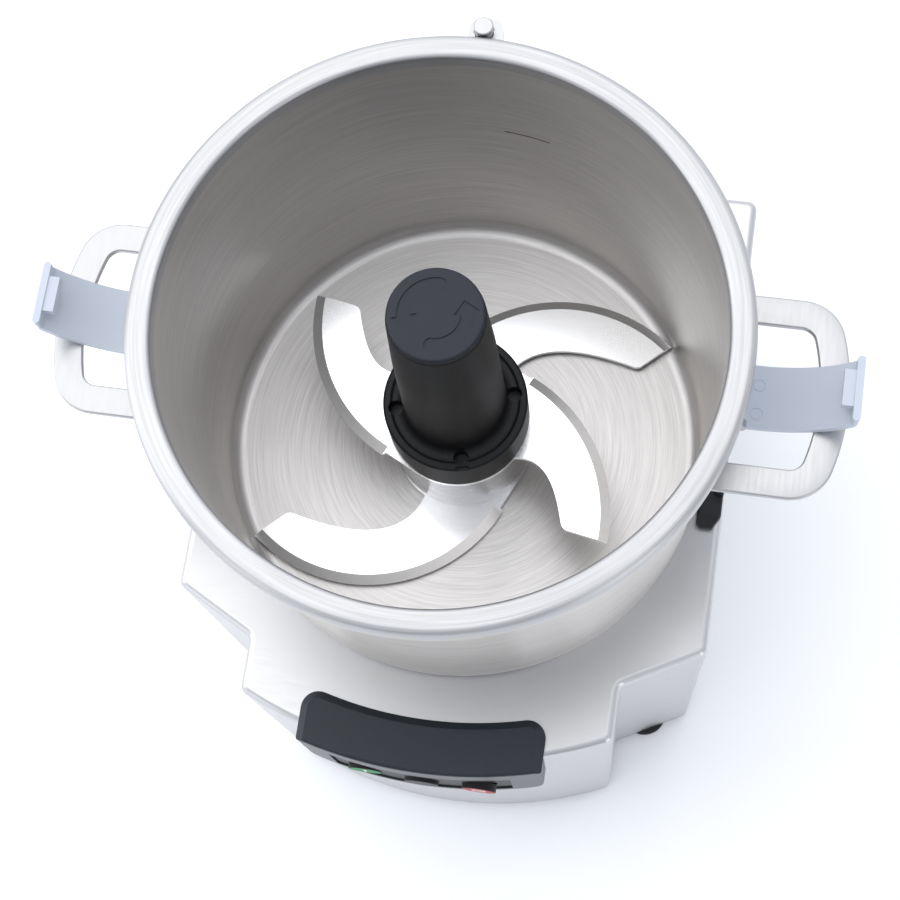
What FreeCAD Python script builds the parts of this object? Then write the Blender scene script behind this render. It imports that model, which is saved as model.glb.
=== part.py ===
"""Food cutter mixer: a bowl with two-level swept knives on a stepped stainless motor base.

Millimetres. The origin lies on the drive axis, in the plane that the feet stand on.
+Z is up, -Y is the front with the control panel, +X is the operator's right.
"""
import math
import os

import FreeCAD
import Part

Vector = FreeCAD.Vector
UP = Vector(0, 0, 1)
BACKWARD = Vector(0, 1, 0)
ORIGIN = Vector(0, 0, 0)

# Shared clearances, and how close two sizes count as one
SEAT_GAP = 0.2
MOVING_GAP = 0.3
RUNNING_FIT = 0.05
SAME = 1e-4

# Heights of the base and of the bowl that stands on it
HOUSING_BOTTOM = 4.0
BASE_TOP = 200.0
HOUSING_WALL = 2.5
UNDER_TOP = BASE_TOP - HOUSING_WALL
BOWL_HEIGHT = 171.0
BOWL_RIM_Z = BASE_TOP + BOWL_HEIGHT

# Bowl with its centre tube and rolled rim
BOWL_WALL = 1.5
BOWL_FLOOR = 2.0
BOWL_RIM_INNER = 112.0
BOWL_TAPER = 3.0
BOWL_FLOOR_INNER = BOWL_RIM_INNER - BOWL_TAPER
BOWL_FLOOR_FILLET = 6.0
RIM_WIDTH = 10.3
RIM_OUTER = BOWL_RIM_INNER + RIM_WIDTH
RIM_DROP = 10.0
RIM_THICKNESS = 1.8
RIM_OUTER_EDGE = 3.0
RIM_INNER_EDGE = 2.2
BOWL_BOTTOM = BASE_TOP + SEAT_GAP
BOWL_FLOOR_TOP = BOWL_BOTTOM + BOWL_FLOOR
NOSE_HEIGHT = 26.0
NOSE_TOP = BASE_TOP + NOSE_HEIGHT
NOSE_HEADROOM = 6.0
TUBE_LOW_RADIUS = 20.5
TUBE_HIGH_RADIUS = 13.8
TUBE_SHOULDER_RISE = 8.0
TUBE_CORNER_RADIUS = 2.0
TUBE_SHOULDER_LOW = NOSE_TOP + NOSE_HEADROOM
TUBE_SHOULDER_HIGH = TUBE_SHOULDER_LOW + TUBE_SHOULDER_RISE
TUBE_DROP = 33.0
TUBE_TOP = BOWL_RIM_Z - TUBE_DROP

# Bowl lugs in the stop blocks on the base
BLOCK_BOWL_GAP = 0.7
BLOCK_WIDTH = 10.8
BLOCK_INNER_X = BOWL_FLOOR_INNER + BOWL_WALL + BLOCK_BOWL_GAP
BLOCK_OUTER_X = BLOCK_INNER_X + BLOCK_WIDTH
STOP_BLOCK_HALF_LENGTH = 26.5
STOP_BLOCK_HEIGHT = 7.0
STOP_BLOCK_EDGE = 1.0
END_RAMP_LENGTH = 5.0
END_RAMP_DROP = 3.5
INNER_CHAMFER = 2.0
OUTER_CHAMFER_X = 3.5
OUTER_CHAMFER_Y = 5.5
GUARD_HEIGHT = 4.0
GUARD_HALF_LENGTH = 11.5
LUG_HALF_WIDTH = 6.0
LUG_DEPTH = 6.8
LUG_REACH = BLOCK_INNER_X + LUG_DEPTH
LUG_HEIGHT = 6.0
LUG_CORNER_RADIUS = 1.5

# Loop handles: one flat strip each
HANDLE_DROP = 43.0
HANDLE_TOP = BOWL_RIM_Z - HANDLE_DROP
HANDLE_THICKNESS = 3.0
HANDLE_HALF_WIDTH = 41.6
HANDLE_STRIP = 12.0
HANDLE_PROUD = 40.2
HANDLE_REACH = RIM_OUTER + HANDLE_PROUD
HANDLE_OUTER_CORNER = 17.0
HANDLE_INNER_CORNER = 5.0
HANDLE_BOW = 3.0
HANDLE_EDGE_RADIUS = 0.8

# Lid clips: hinged under the rim, resting on the handles
CLIP_HALF_WIDTH = 13.2
CLIP_THICKNESS = 2.8
CLIP_HINGE_OFFSET = 4.5
CLIP_HINGE_X = BOWL_RIM_INNER + BOWL_WALL + CLIP_HINGE_OFFSET
CLIP_HINGE_RISE = 4.5
CLIP_HINGE_Z = HANDLE_TOP + CLIP_HINGE_RISE
CLIP_BARREL_RADIUS = 4.0
CLIP_PIN_RADIUS = 2.0
CLIP_FLAT_LENGTH = 7.0
CLIP_BEND_X = CLIP_HINGE_X + CLIP_FLAT_LENGTH
CLIP_BEND_ANGLE = 55.3
CLIP_OVERHANG = 2.5
CLIP_END_X = HANDLE_REACH + CLIP_OVERHANG
CLIP_LIP_THICKNESS = 3.0
CLIP_LIP_RISE = 22.0
CLIP_LIP_TOP = HANDLE_TOP + CLIP_LIP_RISE
CLIP_LIP_CORNER_RADIUS = 1.4
HOOK_DEPTH = 4.5
HOOK_HALF_WIDTH = 7.4
HOOK_HEIGHT = 4.0
HOOK_STEP = 0.6
EAR_THICKNESS = 3.0
EAR_RADIUS = 5.0
EAR_PIN_PROUD = 1.0

# Interlock rod behind the bowl, with its guides and spring
ROD_RADIUS = 4.0
ROD_Y = RIM_OUTER + MOVING_GAP + ROD_RADIUS
ROD_TOP = BOWL_RIM_Z
ROD_EDGE_RADIUS = 0.6
ROD_TRAVEL = 4.0
GUIDE_THICKNESS = 3.0
UPPER_GUIDE_DROP = 8.0
UPPER_GUIDE_Z = BOWL_RIM_Z - UPPER_GUIDE_DROP
LOWER_GUIDE_RISE = 25.8
LOWER_GUIDE_Z = BOWL_BOTTOM + LOWER_GUIDE_RISE
GUIDE_LEFT = 6.2
GUIDE_RIGHT = 8.0
GUIDE_REAR = 6.0
GUIDE_CORNER = 5.5
GUIDE_THROAT = 3.0
RELIEF_X = 5.6
RELIEF_RADIUS = 1.1
ROD_COLLAR_RADIUS = 7.0
ROD_COLLAR_HEIGHT = 3.0
SPRING_LENGTH = 33.0
SPRING_RADIUS = 5.7
SPRING_WIRE_RADIUS = 0.8
SPRING_PITCH = 6.2

# Base housing: folded sheet with a stepped nose at the front
BLOCK_SIDE_MARGIN = 1.0
HALF_WIDTH = BLOCK_OUTER_X + BLOCK_SIDE_MARGIN
ROD_REAR_MARGIN = 12.4
REAR_Y = ROD_Y + ROD_REAR_MARGIN
SHOULDER_Y = -84.0
NECK_Y = -104.0
NOSE_HALF_WIDTH = 85.8
NOSE_FRONT_Y = -148.3
NOSE_ARC_RADIUS = 199.2
NOSE_ARC_Y = NOSE_FRONT_Y + NOSE_ARC_RADIUS
CORNER_RADIUS = 4.5
LEAST_CORNER_RADIUS = 1.0
TOP_EDGE_RADIUS = 3.5

# Bottom plate, its posts and screws, and the feet
PLATE_THICKNESS = 2.0
PLATE_BOTTOM = 8.0
PLATE_TOP = PLATE_BOTTOM + PLATE_THICKNESS
PLATE_EDGE_GAP = 0.5
POST_RADIUS = 6.0
POST_HEIGHT = 26.0
POST_INSET = 8.0
POST_RIB_HALF_WIDTH = 3.0
SCREW_RADIUS = 2.0
SCREW_HEAD_RADIUS = 4.0
SCREW_HEAD_HEIGHT = 2.4
SCREW_HEAD_CHAMFER = 0.8
PLATE_SCREW_LENGTH = 16.0
FOOT_RADIUS = 12.0
FOOT_NECK_RADIUS = 5.5
FOOT_TREAD_HEIGHT = 3.6
FOOT_EDGE_RADIUS = 1.2
FOOT_INSET_X = 23.0
FRONT_FOOT_INSET_Y = 2.0
REAR_FOOT_INSET_Y = 24.0
VENT_SLOT_LENGTH = 44.0
VENT_SLOT_WIDTH = 4.0
VENT_SLOT_PITCH = 11.0
VENT_SLOT_COUNT = 7

# Control panel: a black cover that laps over the nose's front edge
PANEL_HALF_WIDTH = 56.0
PANEL_THICKNESS = 7.2
PANEL_LAP = 17.3
PANEL_RISE = 6.0
PANEL_DROP = 52.0
PANEL_CORNER_RADIUS = 8.0
PANEL_FOOT_RADIUS = 7.0
PANEL_BEVEL = 3.5
PANEL_FRONT_EDGE_RADIUS = 1.5
PANEL_FACE_RADIUS = NOSE_ARC_RADIUS + PANEL_THICKNESS
PANEL_TOP = BASE_TOP + PANEL_RISE
PANEL_BOTTOM = BASE_TOP - PANEL_DROP
KEYPAD_HALF_WIDTH = 42.0
KEYPAD_DROP = 10.0
KEYPAD_HEIGHT = 36.0
KEYPAD_TOP = BASE_TOP - KEYPAD_DROP
KEYPAD_BOTTOM = KEYPAD_TOP - KEYPAD_HEIGHT
KEYPAD_THICKNESS = 1.0
KEYPAD_RECESS = 2.0

# Push buttons, the contact blocks behind them and the control board
BUTTON_RADIUS = 8.0
BUTTON_DROP = 33.0
BUTTON_Z = BASE_TOP - BUTTON_DROP
BUTTON_PITCH = 27.0
BUTTON_TRAVEL = 2.0
BUTTON_BODY = 1.6
BUTTON_EDGE_RADIUS = 0.4
BUTTON_PROUD = {"start_button": 0.4, "pulse_button": 0.8, "stop_button": 2.2}
STEM_RADIUS = 3.0
STEM_REACH = 5.0
CONTACT_HALF_WIDTH = 9.0
CONTACT_HALF_HEIGHT = 11.0
WINDOW_MARGIN = 3.0
BOARD_SETBACK = 27.3
BOARD_Y = NOSE_FRONT_Y + BOARD_SETBACK
BOARD_THICKNESS = 1.6
BOARD_HALF_WIDTH = 60.0
BOARD_DROP = 12.0
BOARD_HEIGHT = 66.0
BOARD_TOP = BASE_TOP - BOARD_DROP
BOARD_BOTTOM = BOARD_TOP - BOARD_HEIGHT
STANDOFF_RADIUS = 3.0
STANDOFF_PIN_RADIUS = 1.5
STANDOFF_INSET = 7.0

# Motor, standing under the housing's top
SHAFT_RADIUS = 8.5
SHAFT_CLEARANCE = 0.5
SHAFT_FLAT = 6.5
SHAFT_CHAMFER = 0.4
NOSE_RADIUS = TUBE_LOW_RADIUS - BOWL_WALL - MOVING_GAP
NOSE_CHAMFER = 1.8
MOTOR_HALF_SIDE = 58.0
MOTOR_CORNER_RADIUS = 14.0
UPPER_SHIELD_PLATE = 15.5
LOWER_SHIELD_PLATE = 12.0
SHIELD_WALL = 8.0
BEARING_RADIUS = 20.0
BEARING_HEIGHT = 12.0
SEAL_RADIUS = 14.0
SEAL_HEIGHT = 6.0
STATOR_HEIGHT = 62.0
STATOR_BORE = 31.0
AIR_GAP = 0.5
WINDING_SPACE = 22.0
WINDING_HEIGHT = 20.0
WINDING_SHIELD_GAP = 3.0
WINDING_OUTER = MOTOR_HALF_SIDE - SHIELD_WALL - WINDING_SHIELD_GAP
WINDING_BORE_STEP = 2.0
WINDING_INNER = STATOR_BORE + WINDING_BORE_STEP
WINDING_CHAMFER = 4.0
ROTOR_RING_WIDTH = 8.0
ROTOR_RING_HEIGHT = 6.0
ROTOR_RING_STEP = 0.5
TIE_BOLT_INSET = 10.0
TIE_BOLT_PITCH = MOTOR_HALF_SIDE - TIE_BOLT_INSET
TIE_BOLT_RADIUS = 3.0
TIE_BOLT_HEAD_RADIUS = 5.0
TIE_BOLT_HEAD_HEIGHT = 4.0
UPPER_SHIELD_BOTTOM = UNDER_TOP - UPPER_SHIELD_PLATE
STATOR_TOP = UPPER_SHIELD_BOTTOM - WINDING_SPACE
STATOR_BOTTOM = STATOR_TOP - STATOR_HEIGHT
LOWER_SHIELD_TOP = STATOR_BOTTOM - WINDING_SPACE
LOWER_SHIELD_BOTTOM = LOWER_SHIELD_TOP - LOWER_SHIELD_PLATE
FAN_SPACE = 12.0
FAN_TOP = LOWER_SHIELD_BOTTOM - FAN_SPACE
FAN_HEIGHT = 18.0
FAN_BOTTOM = FAN_TOP - FAN_HEIGHT
FAN_RADIUS = 50.0
FAN_HUB_RADIUS = 14.0
FAN_BLADE_THICKNESS = 2.0
FAN_BLADE_COUNT = 8
SHAFT_TAIL = 4.0
SHAFT_BOTTOM = FAN_BOTTOM - SHAFT_TAIL

# Capacitor, lid switch and cable gland
CAPACITOR_RADIUS = 19.0
CAPACITOR_HEIGHT = 74.0
CAPACITOR_EDGE_RADIUS = 1.5
CAPACITOR_WALL_GAP = 9.5
CAPACITOR_X = HALF_WIDTH - HOUSING_WALL - CAPACITOR_WALL_GAP - CAPACITOR_RADIUS
CAPACITOR_Y = 36.0
CLAMP_THICKNESS = 1.5
CLAMP_HEIGHT = 12.0
CLAMP_RISE = 34.0
CLAMP_BOTTOM = PLATE_TOP + CLAMP_RISE
CLAMP_FOOT_HALF_WIDTH = 9.5
PLUNGER_RADIUS = 4.0
PLUNGER_PROUD = 6.0
PLUNGER_LENGTH = 23.0
PLUNGER_SPARE = 1.3
PLUNGER_TOP = BASE_TOP + PLUNGER_PROUD
SWITCH_HALF_WIDTH = 14.0
SWITCH_HALF_DEPTH = 7.0
SWITCH_DROP = 5.5
SWITCH_TOP = UNDER_TOP - SWITCH_DROP
SWITCH_HEIGHT = 28.0
BRACKET_THICKNESS = 2.0
BRACKET_LAP = 14.0
GLAND_X = -80.0
GLAND_Z = 45.0
GLAND_THREAD_RADIUS = 8.0
GLAND_BORE_RADIUS = 4.0
GLAND_HEXAGON_RADIUS = 11.0
GLAND_HEXAGON_LENGTH = 7.0
GLAND_DOME_LENGTH = 15.0
GLAND_DOME_RADIUS = 9.5
GLAND_DOME_EDGE_RADIUS = 3.2
GLAND_THREAD_LENGTH = 10.0
GLAND_NUT_THICKNESS = 5.0
HEXAGON_SIDES = 6

# Knife set
KNIFE_THICKNESS = 2.5
KNIFE_FLOOR_GAP = 2.5
KNIFE_WALL_GAP = 1.9
KNIFE_TUBE_GAP = 0.7
KNIFE_BORE_RADIUS = TUBE_LOW_RADIUS + KNIFE_TUBE_GAP
KNIFE_DISC_RADIUS = 32.0
SPACER_RADIUS = 31.5
SPACER_HEIGHT = 36.5
BEVEL_WIDTH = 4.4
BEVEL_OVERRUN_ANGLE = 4.4
EDGE_LAND = 0.4
NOTCH_DEPTH = 1.8
TIP_CORNER_RADIUS = 4.0
CLAMP_CIRCLE_RADIUS = 26.0
CLAMP_SCREW_ANGLE = 14.0
CLAMP_SCREW_COUNT = 4
CLAMP_SCREW_RADIUS = 2.0
CLAMP_HEAD_RADIUS = 3.4
CLAMP_HEAD_HEIGHT = 4.0
CLAMP_SEAT_DEPTH = 11.2
KNIFE_BOTTOM = BOWL_FLOOR_TOP + KNIFE_FLOOR_GAP
SPACER_BOTTOM = KNIFE_BOTTOM + KNIFE_THICKNESS
UPPER_KNIFE_BOTTOM = SPACER_BOTTOM + SPACER_HEIGHT

# Each knife arm is drawn with its tip corner on +X, and then turned about the axis
LOWER_ARM = {
    "turn_angle": 32.6,
    "tip_radius": BOWL_FLOOR_INNER - KNIFE_WALL_GAP,
    "lead_radius": 72.6,
    "notch_radius": 38.8,
    "notch_angle": 92.5,
    "end_radius": 88.2,
    "end_angle": -2.1,
    "far_radius": 68.8,
    "far_angle": 13.1,
    "near_radius": 51.8,
    "near_angle": 27.2,
    "root_radius": SPACER_RADIUS,
    "root_angle": 31.0,
}
UPPER_ARM = {
    "turn_angle": 146.0,
    "tip_radius": 88.1,
    "lead_radius": 73.9,
    "notch_radius": 38.2,
    "notch_angle": 69.5,
    "end_radius": 69.6,
    "end_angle": -7.0,
    "far_radius": 56.0,
    "far_angle": 1.5,
    "near_radius": 43.5,
    "near_angle": 8.2,
    "root_radius": SPACER_RADIUS,
    "root_angle": 2.5,
}

# Grip: the black column over the bowl's centre tube
GRIP_CAVITY_GAP = 0.7
BUSH_GAP = 3.0
BUSH_HEIGHT = 25.0
BUSH_RADIUS = 16.0
BUSH_BOTTOM = TUBE_TOP + BUSH_GAP
BUSH_TOP = BUSH_BOTTOM + BUSH_HEIGHT
SHAFT_TOP = BUSH_TOP - MOVING_GAP
FLANGE_RADIUS = 31.7
FLANGE_HEIGHT = 22.5
FLANGE_BOTTOM = UPPER_KNIFE_BOTTOM + KNIFE_THICKNESS
FLANGE_TOP = FLANGE_BOTTOM + FLANGE_HEIGHT
FLANGE_EDGE_RADIUS = 1.5
GROOVE_RADIUS = 28.6
GROOVE_DEPTH = 1.0
GROOVE_EDGE_RADIUS = 1.0
FLANGE_NOTCH_WIDTH = 6.0
FLANGE_NOTCH_DEPTH = 1.6
COLUMN_FOOT_RADIUS = 22.6
COLUMN_FOOT_FILLET = 4.0
COLUMN_WAIST_RADIUS = 21.4
COLUMN_SWEEP_RADIUS = 335.0
COLUMN_TOP_RADIUS = 19.6
COLUMN_EDGE_RADIUS = 1.0
COLUMN_HEADROOM = 9.3
COLUMN_TOP = BUSH_TOP + COLUMN_HEADROOM
COLUMN_WAIST_DROP = 40.3
COLUMN_WAIST_Z = COLUMN_TOP - COLUMN_WAIST_DROP
CAP_RADIUS = 19.2
CAP_THICKNESS = 3.2
CAP_EDGE_RADIUS = 1.2
CAP_SPIGOT_RADIUS = 12.0
CAP_SPIGOT_LENGTH = 6.0
CAP_TOP = COLUMN_TOP + CAP_THICKNESS


def polar(radius, degrees):
    """Point in the ground plane at a radius and an angle about the drive axis."""
    angle = math.radians(degrees)
    return Vector(radius * math.cos(angle), radius * math.sin(angle), 0)


def cylinder(radius, bottom, top, x=0.0, y=0.0):
    """Upright cylinder between two heights."""
    return Part.makeCylinder(radius, top - bottom, Vector(x, y, bottom))


def tube(outer, inner, bottom, top, x=0.0, y=0.0):
    """Upright tube between two heights."""
    return cylinder(outer, bottom, top, x, y).cut(cylinder(inner, bottom, top, x, y))


def block(x_range, y_range, z_range):
    """Box between the two ends of each range."""
    size = [max(r) - min(r) for r in (x_range, y_range, z_range)]
    return Part.makeBox(*size, Vector(min(x_range), min(y_range), min(z_range)))


def rounded_wire(corners, to_space):
    """Closed wire through flat corners (u, v, radius), with an arc at each corner that has a radius."""
    flat = [Vector(u, v, 0) for u, v, _ in corners]
    edges = []
    ends = []
    for index, (_, _, radius) in enumerate(corners):
        corner = flat[index]
        before = (flat[index - 1] - corner).normalize()
        after = (flat[(index + 1) % len(flat)] - corner).normalize()
        half = before.getAngle(after) / 2
        if radius <= 0:
            ends.append((corner, corner, None))
            continue
        setback = radius / math.tan(half)
        middle = corner + (before + after).normalize() * (radius / math.sin(half) - radius)
        ends.append((corner + before * setback, corner + after * setback, middle))
    for index, (start, end, middle) in enumerate(ends):
        if middle is not None:
            edges.append(Part.Arc(to_space(start), to_space(middle), to_space(end)).toShape())
        following = ends[(index + 1) % len(ends)][0]
        if (following - end).Length > SAME:
            edges.append(Part.makeLine(to_space(end), to_space(following)))
    return Part.Wire(edges)


def prism(corners, bottom, top):
    """Upright solid on a plan outline of corners (x, y, radius)."""
    wire = rounded_wire(corners, lambda p: Vector(p.x, p.y, bottom))
    return Part.Face(wire).extrude(UP * (top - bottom))


def turned(corners):
    """Solid turned about the drive axis from a section of corners (radius, z, corner radius)."""
    wire = rounded_wire(corners, lambda p: Vector(p.x, 0, p.y))
    return Part.Face(wire).revolve(ORIGIN, UP, 360)


def moved(shape, x, y, z=0.0):
    """Copy of a shape moved by x, y and z."""
    copy = shape.copy()
    copy.translate(Vector(x, y, z))
    return copy


def spun(shape, degrees):
    """Copy of a shape turned about the drive axis."""
    copy = shape.copy()
    copy.rotate(ORIGIN, UP, degrees)
    return copy


def mirrored(shape):
    """Left-hand copy of a right-hand shape."""
    return shape.mirror(ORIGIN, Vector(1, 0, 0))


def fuse_all(shapes):
    """One solid from shapes that meet."""
    return shapes[0].multiFuse(shapes[1:]).removeSplitter()


def near(a, b):
    """Whether two sizes count as one."""
    return abs(a - b) < SAME


def upright_edges(shape):
    """Straight edges of a shape that stand upright."""
    found = []
    for edge in shape.Edges:
        a = edge.Vertexes[0].Point
        b = edge.Vertexes[-1].Point
        if isinstance(edge.Curve, Part.Line) and (a - b).cross(UP).Length < SAME:
            found.append(edge)
    return found


def edges_at_height(shape, z):
    """Edges of a shape that lie wholly at one height."""
    return [e for e in shape.Edges if near(e.BoundBox.ZMin, z) and near(e.BoundBox.ZMax, z)]


def backward(radius, length, x, y, z):
    """Cylinder that runs backwards from a place on the front."""
    return Part.makeCylinder(radius, length, Vector(x, y, z), BACKWARD)


def set_in(outline, inset):
    """Clockwise outline with every side moved inwards by one distance, its corners mitred."""
    points = [Vector(x, y, 0) for x, y in outline]
    result = []
    for index, point in enumerate(points):
        before = (point - points[index - 1]).normalize()
        after = (points[(index + 1) % len(points)] - point).normalize()
        inwards = before.cross(UP) + after.cross(UP)
        result.append(point + inwards * (inset / (1 + before.dot(after))))
    return result


def base_solid(inset, bottom, top):
    """The base's stepped plan as a solid, set in from the outside by a wall."""
    right = [(HALF_WIDTH, REAR_Y), (HALF_WIDTH, SHOULDER_Y), (NOSE_HALF_WIDTH, NECK_Y),
             (NOSE_HALF_WIDTH, NOSE_FRONT_Y - CORNER_RADIUS)]
    outline = set_in(right + [(-x, y) for x, y in reversed(right)], inset)
    outer = max(CORNER_RADIUS - inset, LEAST_CORNER_RADIUS)
    inner = CORNER_RADIUS + inset
    radii = [outer, outer, inner, 0]
    radii += radii[::-1]
    solid = prism([(point.x, point.y, radius) for point, radius in zip(outline, radii)], bottom, top)
    solid = solid.common(cylinder(NOSE_ARC_RADIUS - inset, bottom, top, 0, NOSE_ARC_Y))
    front = [e for e in upright_edges(solid) if e.Vertexes[0].Y < NECK_Y - inner]
    return solid.makeFillet(outer, front)


def post_places():
    """Centres of the bottom plate's six screw posts."""
    side = HALF_WIDTH - HOUSING_WALL - POST_INSET
    nose = NOSE_HALF_WIDTH - HOUSING_WALL - POST_INSET
    rear = REAR_Y - HOUSING_WALL - POST_INSET
    places = []
    for sign in (-1, 1):
        places.append((sign * side, rear))
        places.append((sign * side, 0.0))
        places.append((sign * nose, NECK_Y - POST_INSET))
    return places


def foot_places():
    """Centres of the four feet."""
    x = HALF_WIDTH - FOOT_INSET_X
    rows = (SHOULDER_Y - FRONT_FOOT_INSET_Y, REAR_Y - REAR_FOOT_INSET_Y)
    return [(side * x, y) for side in (-1, 1) for y in rows]


def button_places():
    """Name, x and panel face y of each button."""
    places = []
    for index, name in enumerate(BUTTON_PROUD):
        x = (index - 1) * BUTTON_PITCH
        face_y = NOSE_ARC_Y - math.sqrt(PANEL_FACE_RADIUS ** 2 - x ** 2)
        places.append((name, x, face_y))
    return places


def base_housing():
    """Satin sheet housing: stepped shell, open below, with posts for the bottom plate."""
    shell = base_solid(0, HOUSING_BOTTOM, BASE_TOP)
    shell = shell.makeFillet(TOP_EDGE_RADIUS, edges_at_height(shell, BASE_TOP))
    shell = shell.cut(base_solid(HOUSING_WALL, HOUSING_BOTTOM, UNDER_TOP))
    mid_wall = HOUSING_WALL / 2
    walls = base_solid(mid_wall, HOUSING_BOTTOM, UNDER_TOP)
    post_top = PLATE_TOP + POST_HEIGHT
    for x, y in post_places():
        post = cylinder(POST_RADIUS, PLATE_TOP, post_top, x, y)
        reach = POST_INSET + mid_wall
        rib = block((x, x + math.copysign(reach, x)), (y - POST_RIB_HALF_WIDTH, y + POST_RIB_HALF_WIDTH),
                    (PLATE_TOP, post_top)).common(walls)
        shell = shell.fuse(post.fuse(rib))
        shell = shell.cut(cylinder(SCREW_RADIUS, PLATE_BOTTOM, PLATE_BOTTOM + PLATE_SCREW_LENGTH, x, y))
    shell = shell.cut(cylinder(NOSE_RADIUS + MOVING_GAP, UNDER_TOP, BASE_TOP))
    shell = shell.cut(cylinder(PLUNGER_RADIUS + MOVING_GAP, UNDER_TOP, BASE_TOP, 0, ROD_Y))
    half = BUTTON_PITCH + CONTACT_HALF_WIDTH + WINDOW_MARGIN
    height = CONTACT_HALF_HEIGHT + WINDOW_MARGIN
    window = block((-half, half), (NOSE_FRONT_Y, BOARD_Y), (BUTTON_Z - height, BUTTON_Z + height))
    shell = shell.cut(window)
    gland = backward(GLAND_THREAD_RADIUS, HOUSING_WALL, GLAND_X, REAR_Y - HOUSING_WALL, GLAND_Z)
    return shell.cut(gland).removeSplitter()


def bottom_plate():
    """Flat cover under the base with vent slots below the fan."""
    plate = base_solid(HOUSING_WALL + PLATE_EDGE_GAP, PLATE_BOTTOM, PLATE_TOP)
    for x, y in post_places():
        plate = plate.cut(cylinder(SCREW_RADIUS, PLATE_BOTTOM, PLATE_TOP, x, y))
    slots = []
    radius = VENT_SLOT_WIDTH / 2
    straight = VENT_SLOT_LENGTH / 2 - radius
    for index in range(VENT_SLOT_COUNT):
        y = (index - (VENT_SLOT_COUNT - 1) / 2) * VENT_SLOT_PITCH
        slot = block((-straight, straight), (y - radius, y + radius), (PLATE_BOTTOM, PLATE_TOP))
        ends = [cylinder(radius, PLATE_BOTTOM, PLATE_TOP, s * straight, y) for s in (-1, 1)]
        slots.append(slot.multiFuse(ends))
    return plate.cut(Part.makeCompound(slots))


def plate_screws():
    """Pan head screws that hold the bottom plate."""
    screws = []
    for x, y in post_places():
        crown = PLATE_BOTTOM - SCREW_HEAD_HEIGHT
        head = cylinder(SCREW_HEAD_RADIUS, crown, PLATE_BOTTOM, x, y)
        head = head.makeChamfer(SCREW_HEAD_CHAMFER, edges_at_height(head, crown))
        shank = cylinder(SCREW_RADIUS, PLATE_BOTTOM, PLATE_BOTTOM + PLATE_SCREW_LENGTH, x, y)
        screws.append(head.fuse(shank).removeSplitter())
    return Part.makeCompound(screws)


def rubber_feet():
    """Round rubber feet: a tread below the housing and a neck up to the bottom plate."""
    section = [
        (0, 0, 0),
        (FOOT_RADIUS, 0, FOOT_EDGE_RADIUS),
        (FOOT_RADIUS, FOOT_TREAD_HEIGHT, FOOT_EDGE_RADIUS),
        (FOOT_NECK_RADIUS, FOOT_TREAD_HEIGHT, 0),
        (FOOT_NECK_RADIUS, PLATE_BOTTOM, 0),
        (0, PLATE_BOTTOM, 0),
    ]
    foot = turned(section)
    return Part.makeCompound([moved(foot, x, y) for x, y in foot_places()])


def panel_ring(outer, inner, bottom, top):
    """Piece of a ring about the nose arc's centre, as wide as the panel."""
    ring = tube(outer, inner, bottom, top, 0, NOSE_ARC_Y)
    span = block((-PANEL_HALF_WIDTH, PANEL_HALF_WIDTH), (NOSE_ARC_Y - outer, 0), (bottom, top))
    return ring.common(span)


def face_edges(body, radius, z):
    """Edges at one height that follow an arc about the nose arc's centre."""
    centre = Vector(0, NOSE_ARC_Y, z)
    level = edges_at_height(body, z)
    return [e for e in level if all(near((v.Point - centre).Length, radius) for v in e.Vertexes)]


def control_panel():
    """Moulded cover: its top lies on the base and its front hangs before the nose."""
    lap_radius = NOSE_ARC_RADIUS - PANEL_LAP
    body = panel_ring(PANEL_FACE_RADIUS, lap_radius, PANEL_BOTTOM, PANEL_TOP)
    centre = Vector(0, NOSE_ARC_Y, PANEL_BOTTOM)
    rear = []
    for edge in upright_edges(body):
        foot = min(edge.Vertexes, key=lambda v: v.Z).Point
        if near((foot - centre).Length, lap_radius):
            rear.append(edge)
    body = body.makeFillet(PANEL_CORNER_RADIUS, rear)
    front = face_edges(body, PANEL_FACE_RADIUS, PANEL_TOP)
    others = [e for e in edges_at_height(body, PANEL_TOP) if not any(e.isSame(f) for f in front)]
    body = body.makeChamfer(PANEL_BEVEL, others)
    body = body.cut(cylinder(NOSE_ARC_RADIUS, PANEL_BOTTOM, BASE_TOP, 0, NOSE_ARC_Y))
    corners = [e for e in edges_at_height(body, PANEL_BOTTOM)
               if near(e.BoundBox.XLength, 0) and near(abs(e.BoundBox.XMin), PANEL_HALF_WIDTH)]
    body = body.makeFillet(PANEL_FOOT_RADIUS, corners)
    for z in (PANEL_TOP, PANEL_BOTTOM):
        body = body.makeFillet(PANEL_FRONT_EDGE_RADIUS, face_edges(body, PANEL_FACE_RADIUS, z))
    body = body.cut(keypad_ring(PANEL_FACE_RADIUS + MOVING_GAP, PANEL_FACE_RADIUS - KEYPAD_RECESS, 0))
    well = BUTTON_RADIUS + MOVING_GAP
    well_depth = BUTTON_BODY + BUTTON_TRAVEL + MOVING_GAP + KEYPAD_RECESS
    for _, x, face_y in button_places():
        body = body.cut(backward(well, well_depth, x, face_y - KEYPAD_RECESS, BUTTON_Z))
        body = body.cut(backward(STEM_RADIUS + MOVING_GAP, 2 * PANEL_THICKNESS, x, face_y, BUTTON_Z))
    return body.removeSplitter()


def keypad_ring(outer, inner, gap):
    """Curved slab for the keypad's recess, or for its plate when given an edge gap."""
    ring = tube(outer, inner, KEYPAD_BOTTOM + gap, KEYPAD_TOP - gap, 0, NOSE_ARC_Y)
    half = KEYPAD_HALF_WIDTH - gap
    return ring.common(block((-half, half), (NOSE_ARC_Y - outer, 0), (KEYPAD_BOTTOM, KEYPAD_TOP)))


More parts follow.
